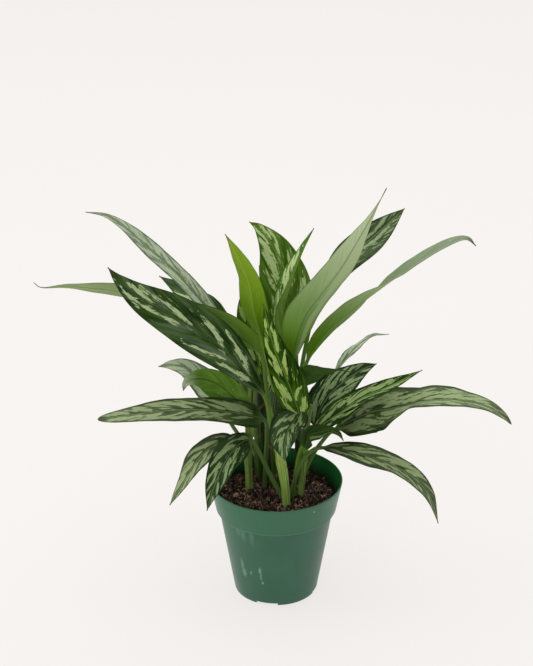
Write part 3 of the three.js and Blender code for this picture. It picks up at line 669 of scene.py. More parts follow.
def pale_field(streaks, along, out):
    """How deep each point lies in the nearest streak: 1 in its middle, 0 at its edge and less outside."""
    deepest = np.full(along.shape, NO_STREAK)
    for half, points in streaks:
        for step, (a, b) in enumerate(zip(points, points[1:])):
            a, b = np.array(a), np.array(b)
            offset = np.stack([along, out], -1) - a
            share = np.clip(offset @ (b - a) / ((b - a) @ (b - a)), 0, 1)
            gap = np.linalg.norm(offset - share[..., None] * (b - a), axis=-1)
            thin = 1 - STREAK_THINNING * ((step + share) / (len(points) - 1)) ** 2
            deepest = np.maximum(deepest, 1 - gap / (half * thin))
    return deepest


def vein_foot(along, out, place):
    """How far along the blade the side vein through a point leaves the midrib."""
    return along - np.abs(out) * (VEIN_FORWARD + VEIN_BEND * np.abs(place))


class Leaf:
    """One leaf: a grooved round stalk that opens into a folded, quilted blade."""

    def __init__(self, name, facts, order, look):
        self.name = name
        self.facts = {**LEAF_DEFAULTS, **facts}
        self.order = order
        self.look = look
        self.line = Line(self.facts["route"])
        self.blade_start = self.line.distance_at(self.facts["blade"])
        self.blade_length = self.line.length - self.blade_start

    def frames(self, distances, shares):
        """Centres, directions across and directions up at these distances."""
        centres, along = self.line.read(distances)
        looking = along_list(unit(np.array(self.facts["facing"], float)), shares)
        up = unit(looking - along * (looking * along).sum(-1, keepdims=True))
        return centres, np.cross(along, up), up

    def half_width(self, share):
        belly, taper = self.facts["belly"], self.facts["taper"]
        swell = taper * belly / (1 - belly)
        widest = belly**swell * (1 - belly) ** taper
        outline = share**swell * (1 - share) ** taper / widest
        return np.maximum(TIP_HALF_WIDTH, self.facts["width"] * MM / 2 * outline)

    def section(self, share, half):
        """The heights of the upper and the under face over the line's frame, at the blade's places."""
        outward = np.abs(BLADE_PLACES)
        out = outward * half
        swing = np.sin(math.pi * share)
        turns = WAVES * share + WAVE_STEP * self.order + np.where(BLADE_PLACES > 0, WAVE_SIDE_SHIFT, 0)
        wave = WAVE_HEIGHT * np.sin(2 * math.pi * turns) * outward**2 * swing
        ripple = np.sin(2 * math.pi * (RIPPLES * share + self.order / 3 + RIPPLE_SLANT * BLADE_PLACES))
        wave = wave + RIPPLE_HEIGHT * ripple * outward**4 * swing
        vein = vein_foot(share * self.blade_length, out, outward)
        quilt = np.sin(2 * math.pi * vein * VEIN_SINE / QUILT_PITCH + BLADE_PLACES)
        quilt = QUILT_DEPTH * quilt * np.sin(math.pi * np.minimum(1, outward * QUILT_REACH)) * swing
        rise = half * self.facts["fold"] * (outward - EDGE_BEND * outward**2) + wave + quilt
        rib = lerp(RIB_THICKNESS, EDGE_THICKNESS, share**RIB_FADE)
        under = lerp(rib, EDGE_THICKNESS, np.minimum(1, out / (RIB_SPREAD * half + GROOVE_WIDTH))) / 2
        groove = GROOVE_DEPTH * (1 - share) * np.exp(-((out / GROOVE_WIDTH) ** 2))
        return rise + EDGE_THICKNESS / 2 - groove, rise - under

    def streaks_by_rule(self, draw):
        """Pale streaks that follow the side veins."""
        streaks, length, pitch = [], self.blade_length, self.look["pitch"] * MM
        for side in (-1, 1):
            start = draw.uniform(0, 1) * pitch
            while start < LAST_STREAK * length:
                widest = self.half_width(min(0.99, (start + STREAK_AHEAD * length) / length))
                inner = self.look["reach"][0] * draw.uniform(*STREAK_INNER)
                outer = self.look["reach"][1] * draw.uniform(*STREAK_OUTER)
                places = np.linspace(inner, outer, 4) * widest
                forward = places * (VEIN_FORWARD + VEIN_BEND * places / widest)
                points = [(start + ahead, side * out) for ahead, out in zip(forward, places)]
                streaks.append((self.look["half"] * MM * draw.uniform(*STREAK_HALF), points))
                start += pitch * draw.uniform(*STREAK_PITCH)
        return streaks

    def streaks(self):
        """Pale streaks as (half width, points), with each point's distances along the blade and across it."""
        if self.name not in STREAKS:
            return self.streaks_by_rule(random.Random(self.order))
        length, width = self.blade_length, self.half_width
        return [
            (half * MM, [(share * length, place * width(share)) for share, place in line])
            for half, *line in STREAKS[self.name]
        ]

    def build(self, materials):
        places = np.concatenate([BLADE_PLACES, BLADE_PLACES[::-1]])
        sides = len(places)
        steps = np.linspace(0, 1, STALK_RINGS + 1)[:-1]
        blade = np.linspace(0, 1, BLADE_RINGS)
        blade = lerp(blade, smooth(blade), 0.5)
        distances = np.concatenate([steps * self.blade_start, self.blade_start + blade * self.blade_length])
        shares = np.concatenate([np.zeros(STALK_RINGS), blade])
        share, place = np.meshgrid(shares, places, indexing="ij")
        half = self.half_width(share)
        # The stalk's round section, with its groove on top, opens into the blade's
        angles = math.pi - 2 * math.pi * (np.arange(sides) + 0.5) / sides
        flare = STALK_FLARE * np.concatenate([(1 - steps) ** 2, np.zeros(BLADE_RINGS)])
        groove = STALK_GROOVE[0] * np.exp(-(((angles - math.pi / 2) / STALK_GROOVE[1]) ** 2))
        radius = STALK_RADIUS * (1 + flare[:, None]) * (1 - groove)
        upper, under = self.section(shares[:, None], half[:, :1])
        opened = smooth(np.minimum(1, share / OPENED_BY))
        side = lerp(radius * np.cos(angles), place * half, opened)
        rise = lerp(radius * np.sin(angles), np.hstack([upper, under[:, ::-1]]), opened)
        points = sweep(self.frames(distances, shares), side, rise)
        along, out = share * self.blade_length, place * half
        # Across the veins and along them in millimetres, and a layer of its own for each half of each leaf
        layer = 40 * self.order + 6 * np.clip(place * 8, -1, 1)
        veins = [vein_foot(along, out, place) * VEIN_SINE / MM, np.abs(out) / VEIN_SINE / MM, layer]
        pale = np.maximum(along_list(self.look["cover"], share), pale_field(self.streaks(), along, out))
        attributes = {
            "share": share, "place": place, "opened": opened, "out": np.abs(out) / MM, "pale": pale,
            "veins": np.stack(veins, -1),
        }
        # The first material is the upper side's, the second that of the underside and both ends
        faces = tube_faces(len(shares), sides)
        backs = [int(k >= sides // 2 - 1) for k in range(sides)] * (len(shares) - 1) + [1, 1]
        piece = mesh_object(self.name, points, faces, materials, attributes, backs, sharp=60)
        node = f"leaf_{self.name}"
        slot = next(part["material_slot"] for part in frame["record"]["subparts"] if part["node"] == node)
        place_piece(piece, slot, node)


# Canes


def build_cane(name, facts, seed, material):
    """A cane wrapped in leaf sheaths: a ribbed tube with slanting sheath ends that stand a little proud."""
    line = Line(facts["route"])
    draw = random.Random(seed)
    steps = np.linspace(0, 1, CANE_STEPS + 1)
    centres, along = line.read(steps * line.length)
    across = unit(np.array([1.0, 0, 0]) - along * along[:, :1])
    angles = -2 * math.pi * np.arange(CANE_SIDES) / CANE_SIDES
    share = steps[:, None]
    count, twist, height = CANE_RIBS
    ribs = height * np.sin(count * angles + twist * share + seed) ** 2
    count, twist, height = FINE_RIBS
    ribs = ribs + height * np.sin(count * angles + twist * share)
    # Each sheath wraps the cane from one joint to the next, and its end slants round the cane
    swell, dry = np.zeros(ribs.shape), np.zeros(ribs.shape)
    joints = [draw.uniform(*between) for between in SHEATH_ENDS]
    turns = [draw.uniform(0, 2 * math.pi) for _ in joints]
    for joint, turn in zip(joints, turns):
        short = joint + SHEATH_SLANT * np.cos(angles - turn) - share
        below = smooth(np.clip(short / SHEATH_FADE, 0, 1))
        swell += SHEATH_THICKNESS * below * np.clip(1 - short / SHEATH_REACH, 0, 1)
        end = np.exp(-((short / SHEATH_FADE) ** 2))
        dry = np.maximum(dry, end * (0.5 + 0.5 * np.cos(angles - turn)))
    radius = along_list(facts["radii"], share) * MM + ribs + swell - CANE_INSET
    frames = (centres, across, np.cross(across, along))
    points = sweep(frames, radius * np.cos(angles), radius * np.sin(angles))
    around = np.broadcast_arrays(np.cos(angles), np.sin(angles), 2 * share + seed)
    attributes = {
        "share": np.broadcast_to(share, dry.shape), "around": np.stack(around, -1), "dry": dry,
    }
    faces = tube_faces(len(steps), CANE_SIDES)
    piece = mesh_object(f"{name}_sheathed", points, faces, [material], attributes, sharp=70)
    place_piece(piece, "stem", name)


# Pot


def rounding(centre, radius, start, end, steps):
    """Points of an arc, with its angles in degrees."""
    angles = np.radians(np.linspace(start, end, steps))
    return [(centre[0] + radius * math.cos(a), centre[1] + radius * math.sin(a)) for a in angles]


def stretch(a, b, steps):
    """Points on the way from a to b, without either."""
    return [tuple(lerp(np.array(a), np.array(b), k / steps)) for k in range(1, steps)]


def pot_profile():
    """The pot's section as (radius, height), from the middle of its underside over the lip to its floor."""
    corner = rounding((BASE_RADIUS - BASE_CORNER, BASE_CORNER), BASE_CORNER, -90, -8, 8)
    body_top = (BODY_TOP_RADIUS, BAND_FOOT - STEP_ROUNDING)
    step_centre = (BAND_FOOT_RADIUS - STEP_ROUNDING, BAND_FOOT + STEP_ROUNDING)
    step = rounding(step_centre, STEP_ROUNDING, -90, 5, 6)
    lip = rounding((RIM_RADIUS - WALL / 2, POT_HEIGHT - WALL / 2), WALL / 2, 0, 180, 9)
    inner_foot = (BAND_FOOT_RADIUS - WALL, BAND_FOOT + WALL)
    inner_top = (BODY_TOP_RADIUS - WALL, BAND_FOOT - STEP_ROUNDING)
    inner_base = (BASE_RADIUS - WALL, FLOOR + BASE_CORNER)
    hollow, ring, middle = BASE_RINGS
    return [
        (0, BASE_HOLLOW), (middle, BASE_HOLLOW), (hollow, BASE_HOLLOW), (ring, 0), *corner,
        *stretch(corner[-1], body_top, 24), body_top,
        (BODY_TOP_RADIUS + STEP_ROUNDING / 2, BAND_FOOT), *step,
        *stretch(step[-1], lip[0], 12), *lip,
        *stretch(lip[-1], inner_foot, 12), inner_foot, inner_top,
        *stretch(inner_top, inner_base, 8), inner_base, (BASE_RADIUS - WALL - FLOOR / 2, FLOOR), (0, FLOOR),
    ]


def lathe(profile, sides):
    """Points and faces of a profile turned round the pot's axis, which it meets at both ends."""
    rounds = profile[1:-1]
    points = [point for radius, height in rounds for point in circle(radius, sides, height)]
    faces = band_faces(len(rounds), sides)
    last, pole = len(points) - sides, len(points)
    points += [(0, 0, profile[0][1]), (0, 0, profile[-1][1])]
    for side in range(sides):
        after = (side + 1) % sides
        faces += [(pole, after, side), (pole + 1, last + side, last + after)]
    return points, faces


def notch_cutter(angle):
    """A block with rounded edges at the pot's bottom corner."""
    place = (BASE_RADIUS * math.cos(angle), BASE_RADIUS * math.sin(angle), 0)
    bpy.ops.mesh.primitive_cube_add(size=1, location=place)
    cutter = bpy.context.object
    cutter.scale = (NOTCH_DEPTH, NOTCH_WIDTH, 2 * NOTCH_HEIGHT)
    cutter.rotation_euler.z = angle
    bevel = cutter.modifiers.new("corners", "BEVEL")
    bevel.width = NOTCH_ROUNDING
    bevel.segments = 4
    return cutter


def build_pot():
    """The pot with its rolled lip and rim band, and drain notches cut through its bottom corner."""
    profile = pot_profile()
    points, faces = lathe(profile, POT_SIDES)
    # The wall's inside begins at the top of the lip, and the profile's two ends are the last faces
    top = max(range(len(profile)), key=lambda k: profile[k][1])
    inside = [int(face // POT_SIDES >= top - 1) for face in range(len(faces) - 2 * POT_SIDES)]
    inside += [0, 1] * POT_SIDES
    materials = [pot_material(), pot_inside_material()]
    pot = mesh_object("nursery_pot", points, faces, materials, face_materials=inside, sharp=POT_SHARP)
    turns = [FIRST_NOTCH_ANGLE + notch * 2 * math.pi / NOTCH_COUNT for notch in range(NOTCH_COUNT)]
    cutters = [notch_cutter(angle) for angle in turns]
    for cutter in cutters:
        cut = pot.modifiers.new("notch", "BOOLEAN")
        cut.operation = "DIFFERENCE"
        cut.solver = "EXACT"
        cut.object = cutter
    bpy.context.view_layer.update()
    cut_mesh = bpy.data.meshes.new_from_object(pot.evaluated_get(bpy.context.evaluated_depsgraph_get()))
    pot.modifiers.clear()
    pot.data = cut_mesh
    for cutter in cutters:
        bpy.data.objects.remove(cutter)
    shade(cut_mesh, POT_SHARP)
    place_piece(pot, "pot_plastic", "pot")


# Soil


def lumps(x, y, size, height, layer):
    """Lumps of this size with narrow gaps between them, which rise and fall by this height."""
    gaps, middles = noise.voronoi(Vector((x / size, y / size, layer)))
    raised = smooth(min(1.0, (gaps[1] - gaps[0]) / LUMP_GAP))
    return height * (raised * (0.5 + 0.5 * noise.noise(middles[0] * 2.3)) * 2 - 1)


def swells(x, y, per_metre, height, layer):
    """Soft swells of this height."""
    return height * noise.fractal(Vector((x * per_metre, y * per_metre, layer)), 1, 2, 3)


def soil_height(x, y):
    """The soil's surface: a low mound broken into lumps and crumbs."""
    reach = math.hypot(x, y) / SOIL_RADIUS
    mound = SOIL_MOUND * max(0, 1 - reach**6) - SOIL_EDGE_FALL * reach**10
    broad = swells(x, y, *SWELLS, 3)
    per_metre, most = LUMP_BENDS
    bend = most * noise.noise(Vector((x * per_metre, y * per_metre, 9)))
    coarse = lumps(x + bend, y - bend, *COARSE_LUMPS, 1)
    fine = lumps(x - bend, y + bend, *FINE_LUMPS, 2)
    return SOIL_TOP + mound + broad + coarse + fine + swells(x, y, *PITS, 5)


def build_soil():
    """The soil's whole body: its rough top, and the sides that fit the inside of the pot."""
    points = [(0, 0, soil_height(0, 0))]
    for ring in range(1, SOIL_RINGS + 1):
        flat = circle(SOIL_RADIUS * ring / SOIL_RINGS, SOIL_SIDES, 0)
        points += [(x, y, soil_height(x, y)) for x, y, _ in flat]
    wall = WALL + SOIL_GAP
    walls = [
        (BAND_FOOT_RADIUS - wall, BAND_FOOT + WALL),
        (BODY_TOP_RADIUS - wall, BAND_FOOT - STEP_ROUNDING),
        (BASE_RADIUS - wall, FLOOR + BASE_CORNER),
        (BASE_RADIUS - 2 * wall, FLOOR + SOIL_GAP),
    ]
    for radius, height in walls:
        points += circle(radius, SOIL_SIDES, height)
    faces = [(0, 1 + side, 1 + (side + 1) % SOIL_SIDES) for side in range(SOIL_SIDES)]
    faces += [(a, d, c, b) for a, b, c, d in band_faces(SOIL_RINGS + len(walls), SOIL_SIDES, first=1)]
    faces.append(tuple(range(len(points) - 1, len(points) - 1 - SOIL_SIDES, -1)))
    # How far each point stands over the mound, from 0 in the gaps, which take painted shade, to 1 on the
    # lumps
    raised = [(z - SOIL_TOP + SOIL_RELIEF[0]) / SOIL_RELIEF[1] for _, _, z in points]
    soil = mesh_object("potting_soil", points, faces, [soil_material()], {"raised": raised}, sharp=70)
    place_piece(soil, "soil", "soil")


def scattered(draw):
    """A point on the soil, as x and y."""
    radius = SOIL_RADIUS * LOOSE_REACH * math.sqrt(draw.random())
    angle = draw.uniform(0, 2 * math.pi)
    return radius * math.cos(angle), radius * math.sin(angle)


def build_fibres():
    """Fine tan and brown fibres of coir and root that lie over the soil, some of them in pale tufts."""
    draw = random.Random(11)
    points, faces, tones = [], [], []
    fibres = [(*scattered(draw), draw.uniform(0, 360), draw.random() ** 1.8) for _ in range(FIBRE_COUNT)]
    for *middle, count in FIBRE_TUFTS:
        for _ in range(count):
            start = [value + draw.gauss(0, spread) for value, spread in zip(middle, TUFT_SPREAD)]
            fibres.append((*start, draw.uniform(0.7, 1)))
    for x, y, heading, tone in fibres:
        heading = math.radians(heading)
        length = draw.uniform(*FIBRE_LENGTHS)
        curl = draw.uniform(-FIBRE_CURL, FIBRE_CURL)
        thick = draw.uniform(*FIBRE_THICKNESS)
        arch = draw.uniform(*FIBRE_ARCH)
        faces += tube_faces(FIBRE_STEPS + 1, 4, len(points))
        tones += [tone] * 4 * (FIBRE_STEPS + 1)
        for k in range(FIBRE_STEPS + 1):
            share = k / FIBRE_STEPS
            height = soil_height(x, y) + arch * math.sin(math.pi * share) + FIBRE_LIFT
            size = thick * (1 - 0.5 * abs(2 * share - 1))
            for corner in range(4):
                angle = math.pi / 4 + corner * math.pi / 2
                out, up = size * math.cos(angle), size * math.sin(angle)
                points.append((x - math.sin(heading) * out, y + math.cos(heading) * out, height + up))
            heading += curl / FIBRE_STEPS + draw.uniform(-FIBRE_WANDER, FIBRE_WANDER)
            x += math.cos(heading) * length / FIBRE_STEPS
            y += math.sin(heading) * length / FIBRE_STEPS
            shrink = min(1, SOIL_RADIUS * FIBRE_REACH / math.hypot(x, y))
            x, y = x * shrink, y * shrink
    fibres = mesh_object("soil_fibres", points, faces, [fibre_material()], {"tone": tones})
    place_piece(fibres, "soil")


def build_crumbs():
    """Crumbs of peat and chips of bark that lie loose on the soil."""
    draw = random.Random(5)
    points, faces, tones, crumbs, directions = [], [], [], [], []
    for _ in range(CRUMB_COUNT):
        size = draw.uniform(*CRUMB_SIZES) * draw.uniform(0.6, 1)
        crumbs.append((*scattered(draw), size, draw.uniform(0, 180), 0.8 * draw.random() ** 5))
    for ring in range(CRUMB_RINGS):
        angle = math.pi * (ring + 0.5) / CRUMB_RINGS
        ring_points = circle(math.sin(angle), CRUMB_SIDES, math.cos(angle))
        directions += [Vector(point) for point in ring_points]
    for x, y, size, turn, tone in crumbs + CHIPS:
        turn = math.radians(turn)
        flat, long, seed = (draw.uniform(*span) for span in (CRUMB_FLATNESS, CRUMB_LENGTHS, (0, 100)))
        height = soil_height(x, y) + CRUMB_LIFT * size
        faces += [face[::-1] for face in tube_faces(CRUMB_RINGS, CRUMB_SIDES, len(points))]
        tones += [tone] * len(directions)
        for direction in directions:
            rough = 1 + CRUMB_ROUGHNESS * noise.noise(direction * 1.7 + Vector((seed, 0, 0)))
            a, b, c = direction * size * rough
            b /= long
            east = a * math.cos(turn) - b * math.sin(turn)
            north = a * math.sin(turn) + b * math.cos(turn)
            points.append((x + east, y + north, height + c * flat))
    piece = mesh_object("soil_crumbs", points, faces, [crumb_material()], {"tone": tones}, sharp=40)
    place_piece(piece, "soil")


# Materials


def srgb(red, green, blue):
    """A colour given in 0 to 255 as a shader's linear colour."""
    parts = [part / 255 for part in (red, green, blue)]
    linear = [p / 12.92 if p <= 0.04045 else ((p + 0.055) / 1.055) ** 2.4 for p in parts]
    return (*linear, 1)


class Shader:
    """One material, and short ways to add nodes to it."""

    def __init__(self, name, **sockets):
        self.material = bpy.data.materials.new(name)
        self.material.use_nodes = True
        self.tree = self.material.node_tree
        self.surface = self.tree.nodes["Principled BSDF"]
        for socket, value in sockets.items():
            self.set(socket.replace("_", " "), value)

    def plug(self, socket, value):
        if isinstance(value, bpy.types.NodeSocket):
            self.tree.links.new(value, socket)
        else:
            socket.default_value = value

    def set(self, socket, value, *step):
        """Sets a socket to a value or, with more numbers, to a step of it."""
        self.plug(self.surface.inputs[socket], self.step(value, *step) if step else value)

    def node(self, kind, inputs, output=0, **settings):
        """A new node's output."""
        made = self.tree.nodes.new(kind)
        for key, value in settings.items():
            setattr(made, key, value)
        for key, value in inputs.items():
            self.plug(made.inputs[key], value)
        return made.outputs[output]

    def value(self, name):
        """A number that is stored on the mesh's points."""
        return self.node("ShaderNodeAttribute", {}, "Fac", attribute_name=name)

    def vector(self, name):
        """A vector that is stored on the mesh's points."""
        return self.node("ShaderNodeAttribute", {}, "Vector", attribute_name=name)

    def place(self):
        """The point on the piece, in metres."""
        return self.node("ShaderNodeTexCoord", {}, "Object")

    def along(self, axis):
        """One of that point's coordinates."""
        return self.node("ShaderNodeSeparateXYZ", {0: self.place()}, axis)

    def math(self, operation, a, b=0.0, c=0.0):
        return self.node("ShaderNodeMath", {0: a, 1: b, 2: c}, operation=operation)

    def scaled(self, vector, *scales):
        return self.node("ShaderNodeVectorMath", {0: vector, 1: scales}, operation="MULTIPLY")

    def noise(self, vector, scale=1.0, detail=2.0, roughness=0.5):
        inputs = {"Vector": vector, "Scale": scale, "Detail": detail, "Roughness": roughness}
        return self.node("ShaderNodeTexNoise", inputs)

    def grain(self, across, along, detail=2.0, roughness=0.5):
        """Noise of this size across a leaf's side veins and along them, in millimetres."""
        veins = self.scaled(self.vector("veins"), 1 / across, 1 / along, 1)
        return self.noise(veins, 1, detail, roughness)

    def spots(self, vector, scale):
        """The distance to the nearest of many scattered points, in cells."""
        return self.node("ShaderNodeTexVoronoi", {"Vector": vector, "Scale": scale}, "Distance")

    def step(self, value, low, high, start=0.0, end=1.0):
        """Start below low, end above high, and a smooth passage between them."""
        inputs = {"Value": value, "From Min": low, "From Max": high, "To Min": start, "To Max": end}
        return self.node("ShaderNodeMapRange", inputs, interpolation_type="SMOOTHSTEP")

    def mix(self, share, a, b, blend="MIX"):
        """A mix of two colours, each a socket or red, green and blue from 0 to 255."""
        a, b = (srgb(*colour) if isinstance(colour, tuple) else colour for colour in (a, b))
        return self.node("ShaderNodeMix", {0: share, 6: a, 7: b}, 2, data_type="RGBA", blend_type=blend)

    def base(self, share, a, b):
        """Starts the material's colour as a mix of two."""
        self.colour = self.mix(share, a, b)

    def paint(self, colour, share, *step, blend="MIX"):
        """Lays a colour over the colour so far, by a share or, with more numbers, by a step of it."""
        self.colour = self.mix(self.step(share, *step) if step else share, self.colour, colour, blend)

    def relief(self, height, distance):
        inputs = {"Height": height, "Distance": distance, "Strength": 1.0}
        self.set("Normal", self.node("ShaderNodeBump", inputs))

    def done(self):
        self.set("Base Color", self.colour)
        return self.material


def leaf_ends(shader, look):
    """Finishes a side of a leaf with its brown drip tip and its green stalk."""
    shader.paint(TIP_COLOUR, shader.value("share"), 0.93, 0.99, 0.0, 0.7)
    shader.colour = shader.mix(shader.value("opened"), look["stalk"], shader.colour)
    return shader.done()


def leaf_top(name, look):
    """A blade's upper side, with jagged pale streaks along its veins."""
    shader = Shader(f"{name}_leaf_top", Specular_IOR_Level=look["gloss"])
    out, share = shader.value("out"), shader.value("share")
    outward = shader.math("ABSOLUTE", shader.value("place"))
    # The streaks' depth, made patchy and toothed, and lowered at the margin and the midrib
    broad = shader.math("SUBTRACT", shader.grain(*look["blotch"]), 0.5)
    fine = shader.grain(1.2, 6, 3, 0.6)
    depth = shader.math("MULTIPLY_ADD", broad, 6.5, shader.value("pale"))
    depth = shader.math("MULTIPLY_ADD", shader.math("SUBTRACT", fine, 0.5), look["teeth"], depth)
    depth = shader.math("SUBTRACT", depth, shader.step(outward, 0.8, 0.98, 0.0, 3.5))
    depth = shader.math("SUBTRACT", depth, shader.step(out, 0.8, 3.0, 1.2, 0.0))
    halo = shader.step(depth, -1.3, 0.0, 0.0, look["halo"])
    painted_sheen = shader.step(shader.grain(14, 60), 0.46, 0.7, 0.0, 0.55)
    pale = shader.mix(shader.step(fine, 0.3, 0.62, 0.3, 0.0), look["pale"], look["soft"])
    dark = look["shades"][0]
    shader.base(shader.step(shader.grain(7, 50, 3), 0.38, 0.64), *look["shades"])
    # The tone round the streaks, and patches of the same tone as painted sheen
    shader.paint(look["soft"], shader.math("MAXIMUM", painted_sheen, halo))
    shader.paint(pale, depth, -0.06, 0.1)
    shader.paint(look["rib"], out, 0.35, 0.95, 0.8, 0.0)
    shader.paint(dark, outward, 0.95, 1.0, 0.0, 0.6)
    # Painted shade at the blade's foot, where the leaves above shade it
    shader.paint(dark, share, 0.0, 0.4, look["foot"], 0.0)
    shader.paint(HAZE, share, look["haze"][0], 1.0, 0.0, look["haze"][1])
    shader.set("Roughness", fine, 0.3, 0.7, 0.36, 0.5)
    shader.relief(shader.grain(1.1, 30, 3), 0.00025)
    return leaf_ends(shader, look)


def leaf_back(name, look):
    """A blade's underside and its stalk: plainer and duller, with fine raised veins."""
    shader = Shader(f"{name}_leaf_back", Specular_IOR_Level=look["gloss"])
    outward = shader.math("ABSOLUTE", shader.value("place"))
    lines = shader.grain(1.3, 45, 3)
    streaks = shader.math("ADD", shader.value("pale"), shader.grain(6, 40))
    shader.base(shader.step(shader.value("share"), 0.1, 0.95), *look["under"])
    shader.paint(VEIN_SHADE, lines, 0.4, 0.7, 0.0, 0.28, blend="MULTIPLY")
    shader.paint(look["pale"], streaks, 0.3, 0.8, 0.0, look["showing"])
    shader.paint(look["rib"], shader.value("out"), 0.4, 1.5, 0.5, 0.0)
    shader.paint(look["shades"][0], outward, 0.94, 1.0, 0.0, 0.8)
    shader.set("Roughness", lines, 0.3, 0.7, 0.42, 0.55)
    shader.relief(lines, 0.0003)
    return leaf_ends(shader, look)


# The greens of each cane, at its foot and its top, and of its streaks and fine lines, which are partly
# painted highlights. The last look is a cane in painted shade, for the canes in the middle and at the back,
# darkest at its top, under the leaves.
CANE_LOOKS = {
    "fresh_cane": dict(low=(140, 174, 78), high=(118, 152, 52), deep=(76, 106, 30), light=(182, 206, 122)),
    "green_cane": dict(low=(122, 150, 70), high=(84, 112, 40), deep=(34, 56, 14), light=(158, 184, 100)),
    # A cane in painted shade, darkest at its top under the leaves
    "shaded_cane": dict(low=(58, 82, 30), high=(34, 54, 14), deep=(10, 20, 4), light=(88, 114, 48)),
}


def cane_material(name, look):
    """A cane in its sheaths: streaks along it, pale lines partly painted as highlights, pale specks and
    papery brown sheath ends.
    """
    shader = Shader(name, Specular_IOR_Level=0.2)
    around = shader.vector("around")
    streaks = shader.noise(shader.scaled(around, 5, 5, 0.7), detail=4)
    lines = shader.noise(shader.scaled(around, 11, 11, 1.6), detail=3)
    specks = shader.step(shader.spots(shader.place(), 900), 0.1, 0.25, 0.5, 0.0)
    shader.base(shader.step(shader.value("share"), 0.1, 0.7), look["low"], look["high"])
    shader.paint(look["deep"], streaks, 0.44, 0.62, 0.0, 0.9)
    # Fine pale lines along the cane, partly its own streaks and partly painted highlights
    shader.paint(look["light"], lines, 0.5, 0.62, 0.0, 0.8)
    shader.paint((206, 214, 160), shader.math("MULTIPLY", specks, streaks))
    shader.paint((150, 110, 70), shader.math("MULTIPLY", shader.value("dry"), shader.step(streaks, 0.3, 0.6)))
    shader.set("Roughness", streaks, 0.3, 0.7, 0.38, 0.56)
    shader.relief(lines, 0.0004)
    return shader.done()


def pot_marks(shader, height):
    """How pale the wall's specks, rubbed patches and splashes are."""
    place = shader.place()
    specks = shader.step(shader.spots(place, 75), 0.03, 0.07, 0.5, 0.0)
    marks = shader.math("MULTIPLY", specks, shader.step(shader.noise(place, 12, 1), 0.6, 0.66))
    # Round the wall and up it, in metres from the front
    turn = shader.math("ARCTAN2", shader.along("X"), shader.math("MULTIPLY", shader.along("Y"), -1.0))
    wall = shader.node("ShaderNodeCombineXYZ", {"X": shader.math("MULTIPLY", turn, MARK_RADIUS), "Y": height})
    wobble = shader.math("SUBTRACT", shader.noise(place, 520, 3), 0.5)
    for angle, middle, half_width, half_height, strength in POT_MARKS:
        centre = (math.radians(angle) * MARK_RADIUS / half_width, middle / half_height, 0)
        inputs = {0: shader.scaled(wall, 1 / half_width, 1 / half_height, 0), 1: centre}
        away = shader.node("ShaderNodeVectorMath", inputs, "Value", operation="DISTANCE")
        ragged = shader.math("MULTIPLY_ADD", wobble, 2.2, away)
        marks = shader.math("MAXIMUM", marks, shader.step(ragged, 0.2, 1.5, strength, 0.0))
    return marks


def pot_material():
    """Thin moulded polypropylene, a little chalky, with rubbed marks, dried splashes and a painted highlight
    along the step.
    """
    shader = Shader("pot_plastic", Specular_IOR_Level=0.35, Sheen_Weight=0.25, Sheen_Roughness=0.3)
    height = shader.along("Z")
    cloud = shader.noise(shader.place(), 28, 4)
    # A painted highlight along the step at the band's foot
    step_highlight = shader.math("COMPARE", height, BAND_FOOT, STEP_HIGHLIGHT_HALF)
    shader.base(shader.step(cloud, 0.35, 0.7), (44, 92, 70), (52, 100, 77))
    shader.paint((50, 104, 74), height, 0.106, 0.112, 0.0, 0.8)
    shader.paint((38, 86, 64), height, 0, 0.1, 0.5, 0.0)
    shader.paint((116, 160, 130), shader.math("MULTIPLY", step_highlight, 0.7))
    shader.paint((150, 190, 166), pot_marks(shader, height))
    shader.set("Roughness", cloud, 0.3, 0.7, 0.4, 0.52)
    shader.relief(shader.noise(shader.place(), 700), 0.00006)
    return shader.done()


def pot_inside_material():
    """The wall's clean inside, painted the deeper green of light that comes through the plastic, and darker
    lower down.
    """
    shader = Shader("pot_inside", Specular_IOR_Level=0.4, Roughness=0.5)
    shader.base(shader.step(shader.along("Z"), 0.12, 0.14), (8, 50, 16), (18, 104, 44))
    shader.relief(shader.noise(shader.place(), 700), 0.00006)
    return shader.done()


def soil_material():
    """Moist potting mix: dark brown, with redder patches, paler crumbs that are partly painted highlights,
    and gaps in painted shade.
    """
    shader = Shader("potting_soil", Specular_IOR_Level=0.25)
    place = shader.place()
    grain = shader.noise(place, 420, 5, 0.7)
    shader.base(shader.step(grain, 0.42, 0.68), (12, 7, 6), (142, 106, 90))
    shader.paint((66, 32, 24), shader.noise(place, 130), 0.55, 0.7, 0.0, 0.5)
    # Pale specks, partly crumbs and partly painted highlights on the lumps
    shader.paint((164, 128, 110), shader.spots(place, 520), 0.02, 0.18, 0.55, 0.0)
    # Painted shade, near-black in the gaps between the lumps
    shader.paint((6, 4, 4), shader.value("raised"), 0.15, 0.65, 0.9, 0.0)
    shader.set("Roughness", grain, 0.3, 0.7, 0.72, 0.98)
    shader.relief(shader.noise(place, 900, 4, 0.7), 0.0008)
    return shader.done()


def fibre_material():
    shader = Shader("soil_fibres", Roughness=0.8, Specular_IOR_Level=0.25)
    grain = shader.noise(shader.place(), 1500)
    shader.base(shader.value("tone"), (62, 34, 26), (226, 186, 156))
    shader.paint((60, 40, 30), grain, 0.4, 0.7, 0.0, 0.4)
    shader.relief(grain, 0.0002)
    return shader.done()


def crumb_material():
    shader = Shader("soil_crumbs", Specular_IOR_Level=0.25)
    grain = shader.noise(shader.place(), 900, 4)
    shader.base(shader.value("tone"), (24, 12, 9), (206, 170, 144))
    shader.paint((24, 16, 13), grain, 0.4, 0.65, 0.0, 0.6)
    shader.set("Roughness", grain, 0.3, 0.7, 0.7, 0.95)
    shader.relief(grain, 0.0005)
    return shader.done()


# Camera, floor and light


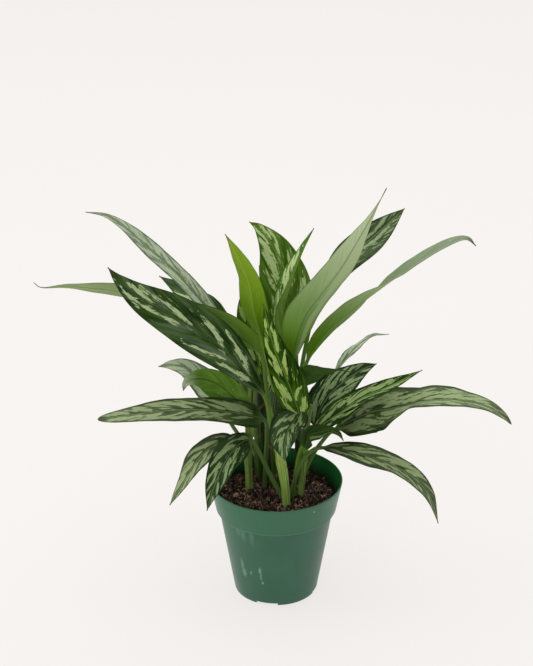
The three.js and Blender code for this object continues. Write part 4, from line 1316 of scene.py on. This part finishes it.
def build_camera():
    camera = bpy.data.objects.new("camera", bpy.data.cameras.new("camera"))
    bpy.context.scene.collection.objects.link(camera)
    camera.data.sensor_fit = "VERTICAL"
    camera.data.sensor_height = 36
    camera.data.lens = CAMERA_LENS
    camera.location = CAMERA_PLACE
    camera.rotation_euler = (math.radians(90 - CAMERA_PITCH), 0, 0)
    bpy.context.scene.camera = camera


def build_floor():
    bpy.ops.mesh.primitive_plane_add(size=FLOOR_SIZE, location=(0, 0, -0.0002))
    floor = bpy.context.object
    floor.name = "studio_floor"
    shader = Shader("studio_floor", Roughness=0.9, Specular_IOR_Level=0.1)
    shader.base(shader.noise(shader.place(), 1.3), (112, 109, 108), (116, 113, 112))
    shader.set("Emission Color", srgb(*WORLD_COLOUR))
    shader.set("Emission Strength", FLOOR_GLOW)
    floor.data.materials.append(shader.done())


def build_lights():
    world = bpy.data.worlds.new("studio")
    world.use_nodes = True
    background = world.node_tree.nodes["Background"]
    background.inputs["Color"].default_value = srgb(*WORLD_COLOUR)
    background.inputs["Strength"].default_value = WORLD_STRENGTH
    bpy.context.scene.world = world
    for name, (place, target, size, power) in LIGHTS.items():
        light = bpy.data.lights.new(name, "AREA")
        light.shape = "RECTANGLE"
        light.size, light.size_y = size
        light.energy = power
        lamp = bpy.data.objects.new(name, light)
        lamp.location = place
        lamp.rotation_euler = (Vector(target) - Vector(place)).to_track_quat("-Z", "Y").to_euler()
        lamp.visible_camera = False
        bpy.context.scene.collection.objects.link(lamp)


build_camera()
build_floor()
build_lights()
bpy.context.scene.view_settings.view_transform = "Standard"

looks = {name: {**LOOK_DEFAULTS, **look} for name, look in LOOKS.items()}
leaf_materials = {name: (leaf_top(name, look), leaf_back(name, look)) for name, look in looks.items()}
for order, (leaf_name, leaf_facts) in enumerate(LEAVES.items()):
    leaf = Leaf(leaf_name, leaf_facts, order, looks[leaf_facts["look"]])
    leaf.build(leaf_materials[leaf_facts["look"]])

cane_materials = {name: cane_material(name, look) for name, look in CANE_LOOKS.items()}
for seed, (cane_name, cane_facts) in enumerate(CANES.items(), 1):
    build_cane(cane_name, cane_facts, seed, cane_materials[cane_facts["look"]])

build_pot()
build_soil()
build_fibres()
build_crumbs()
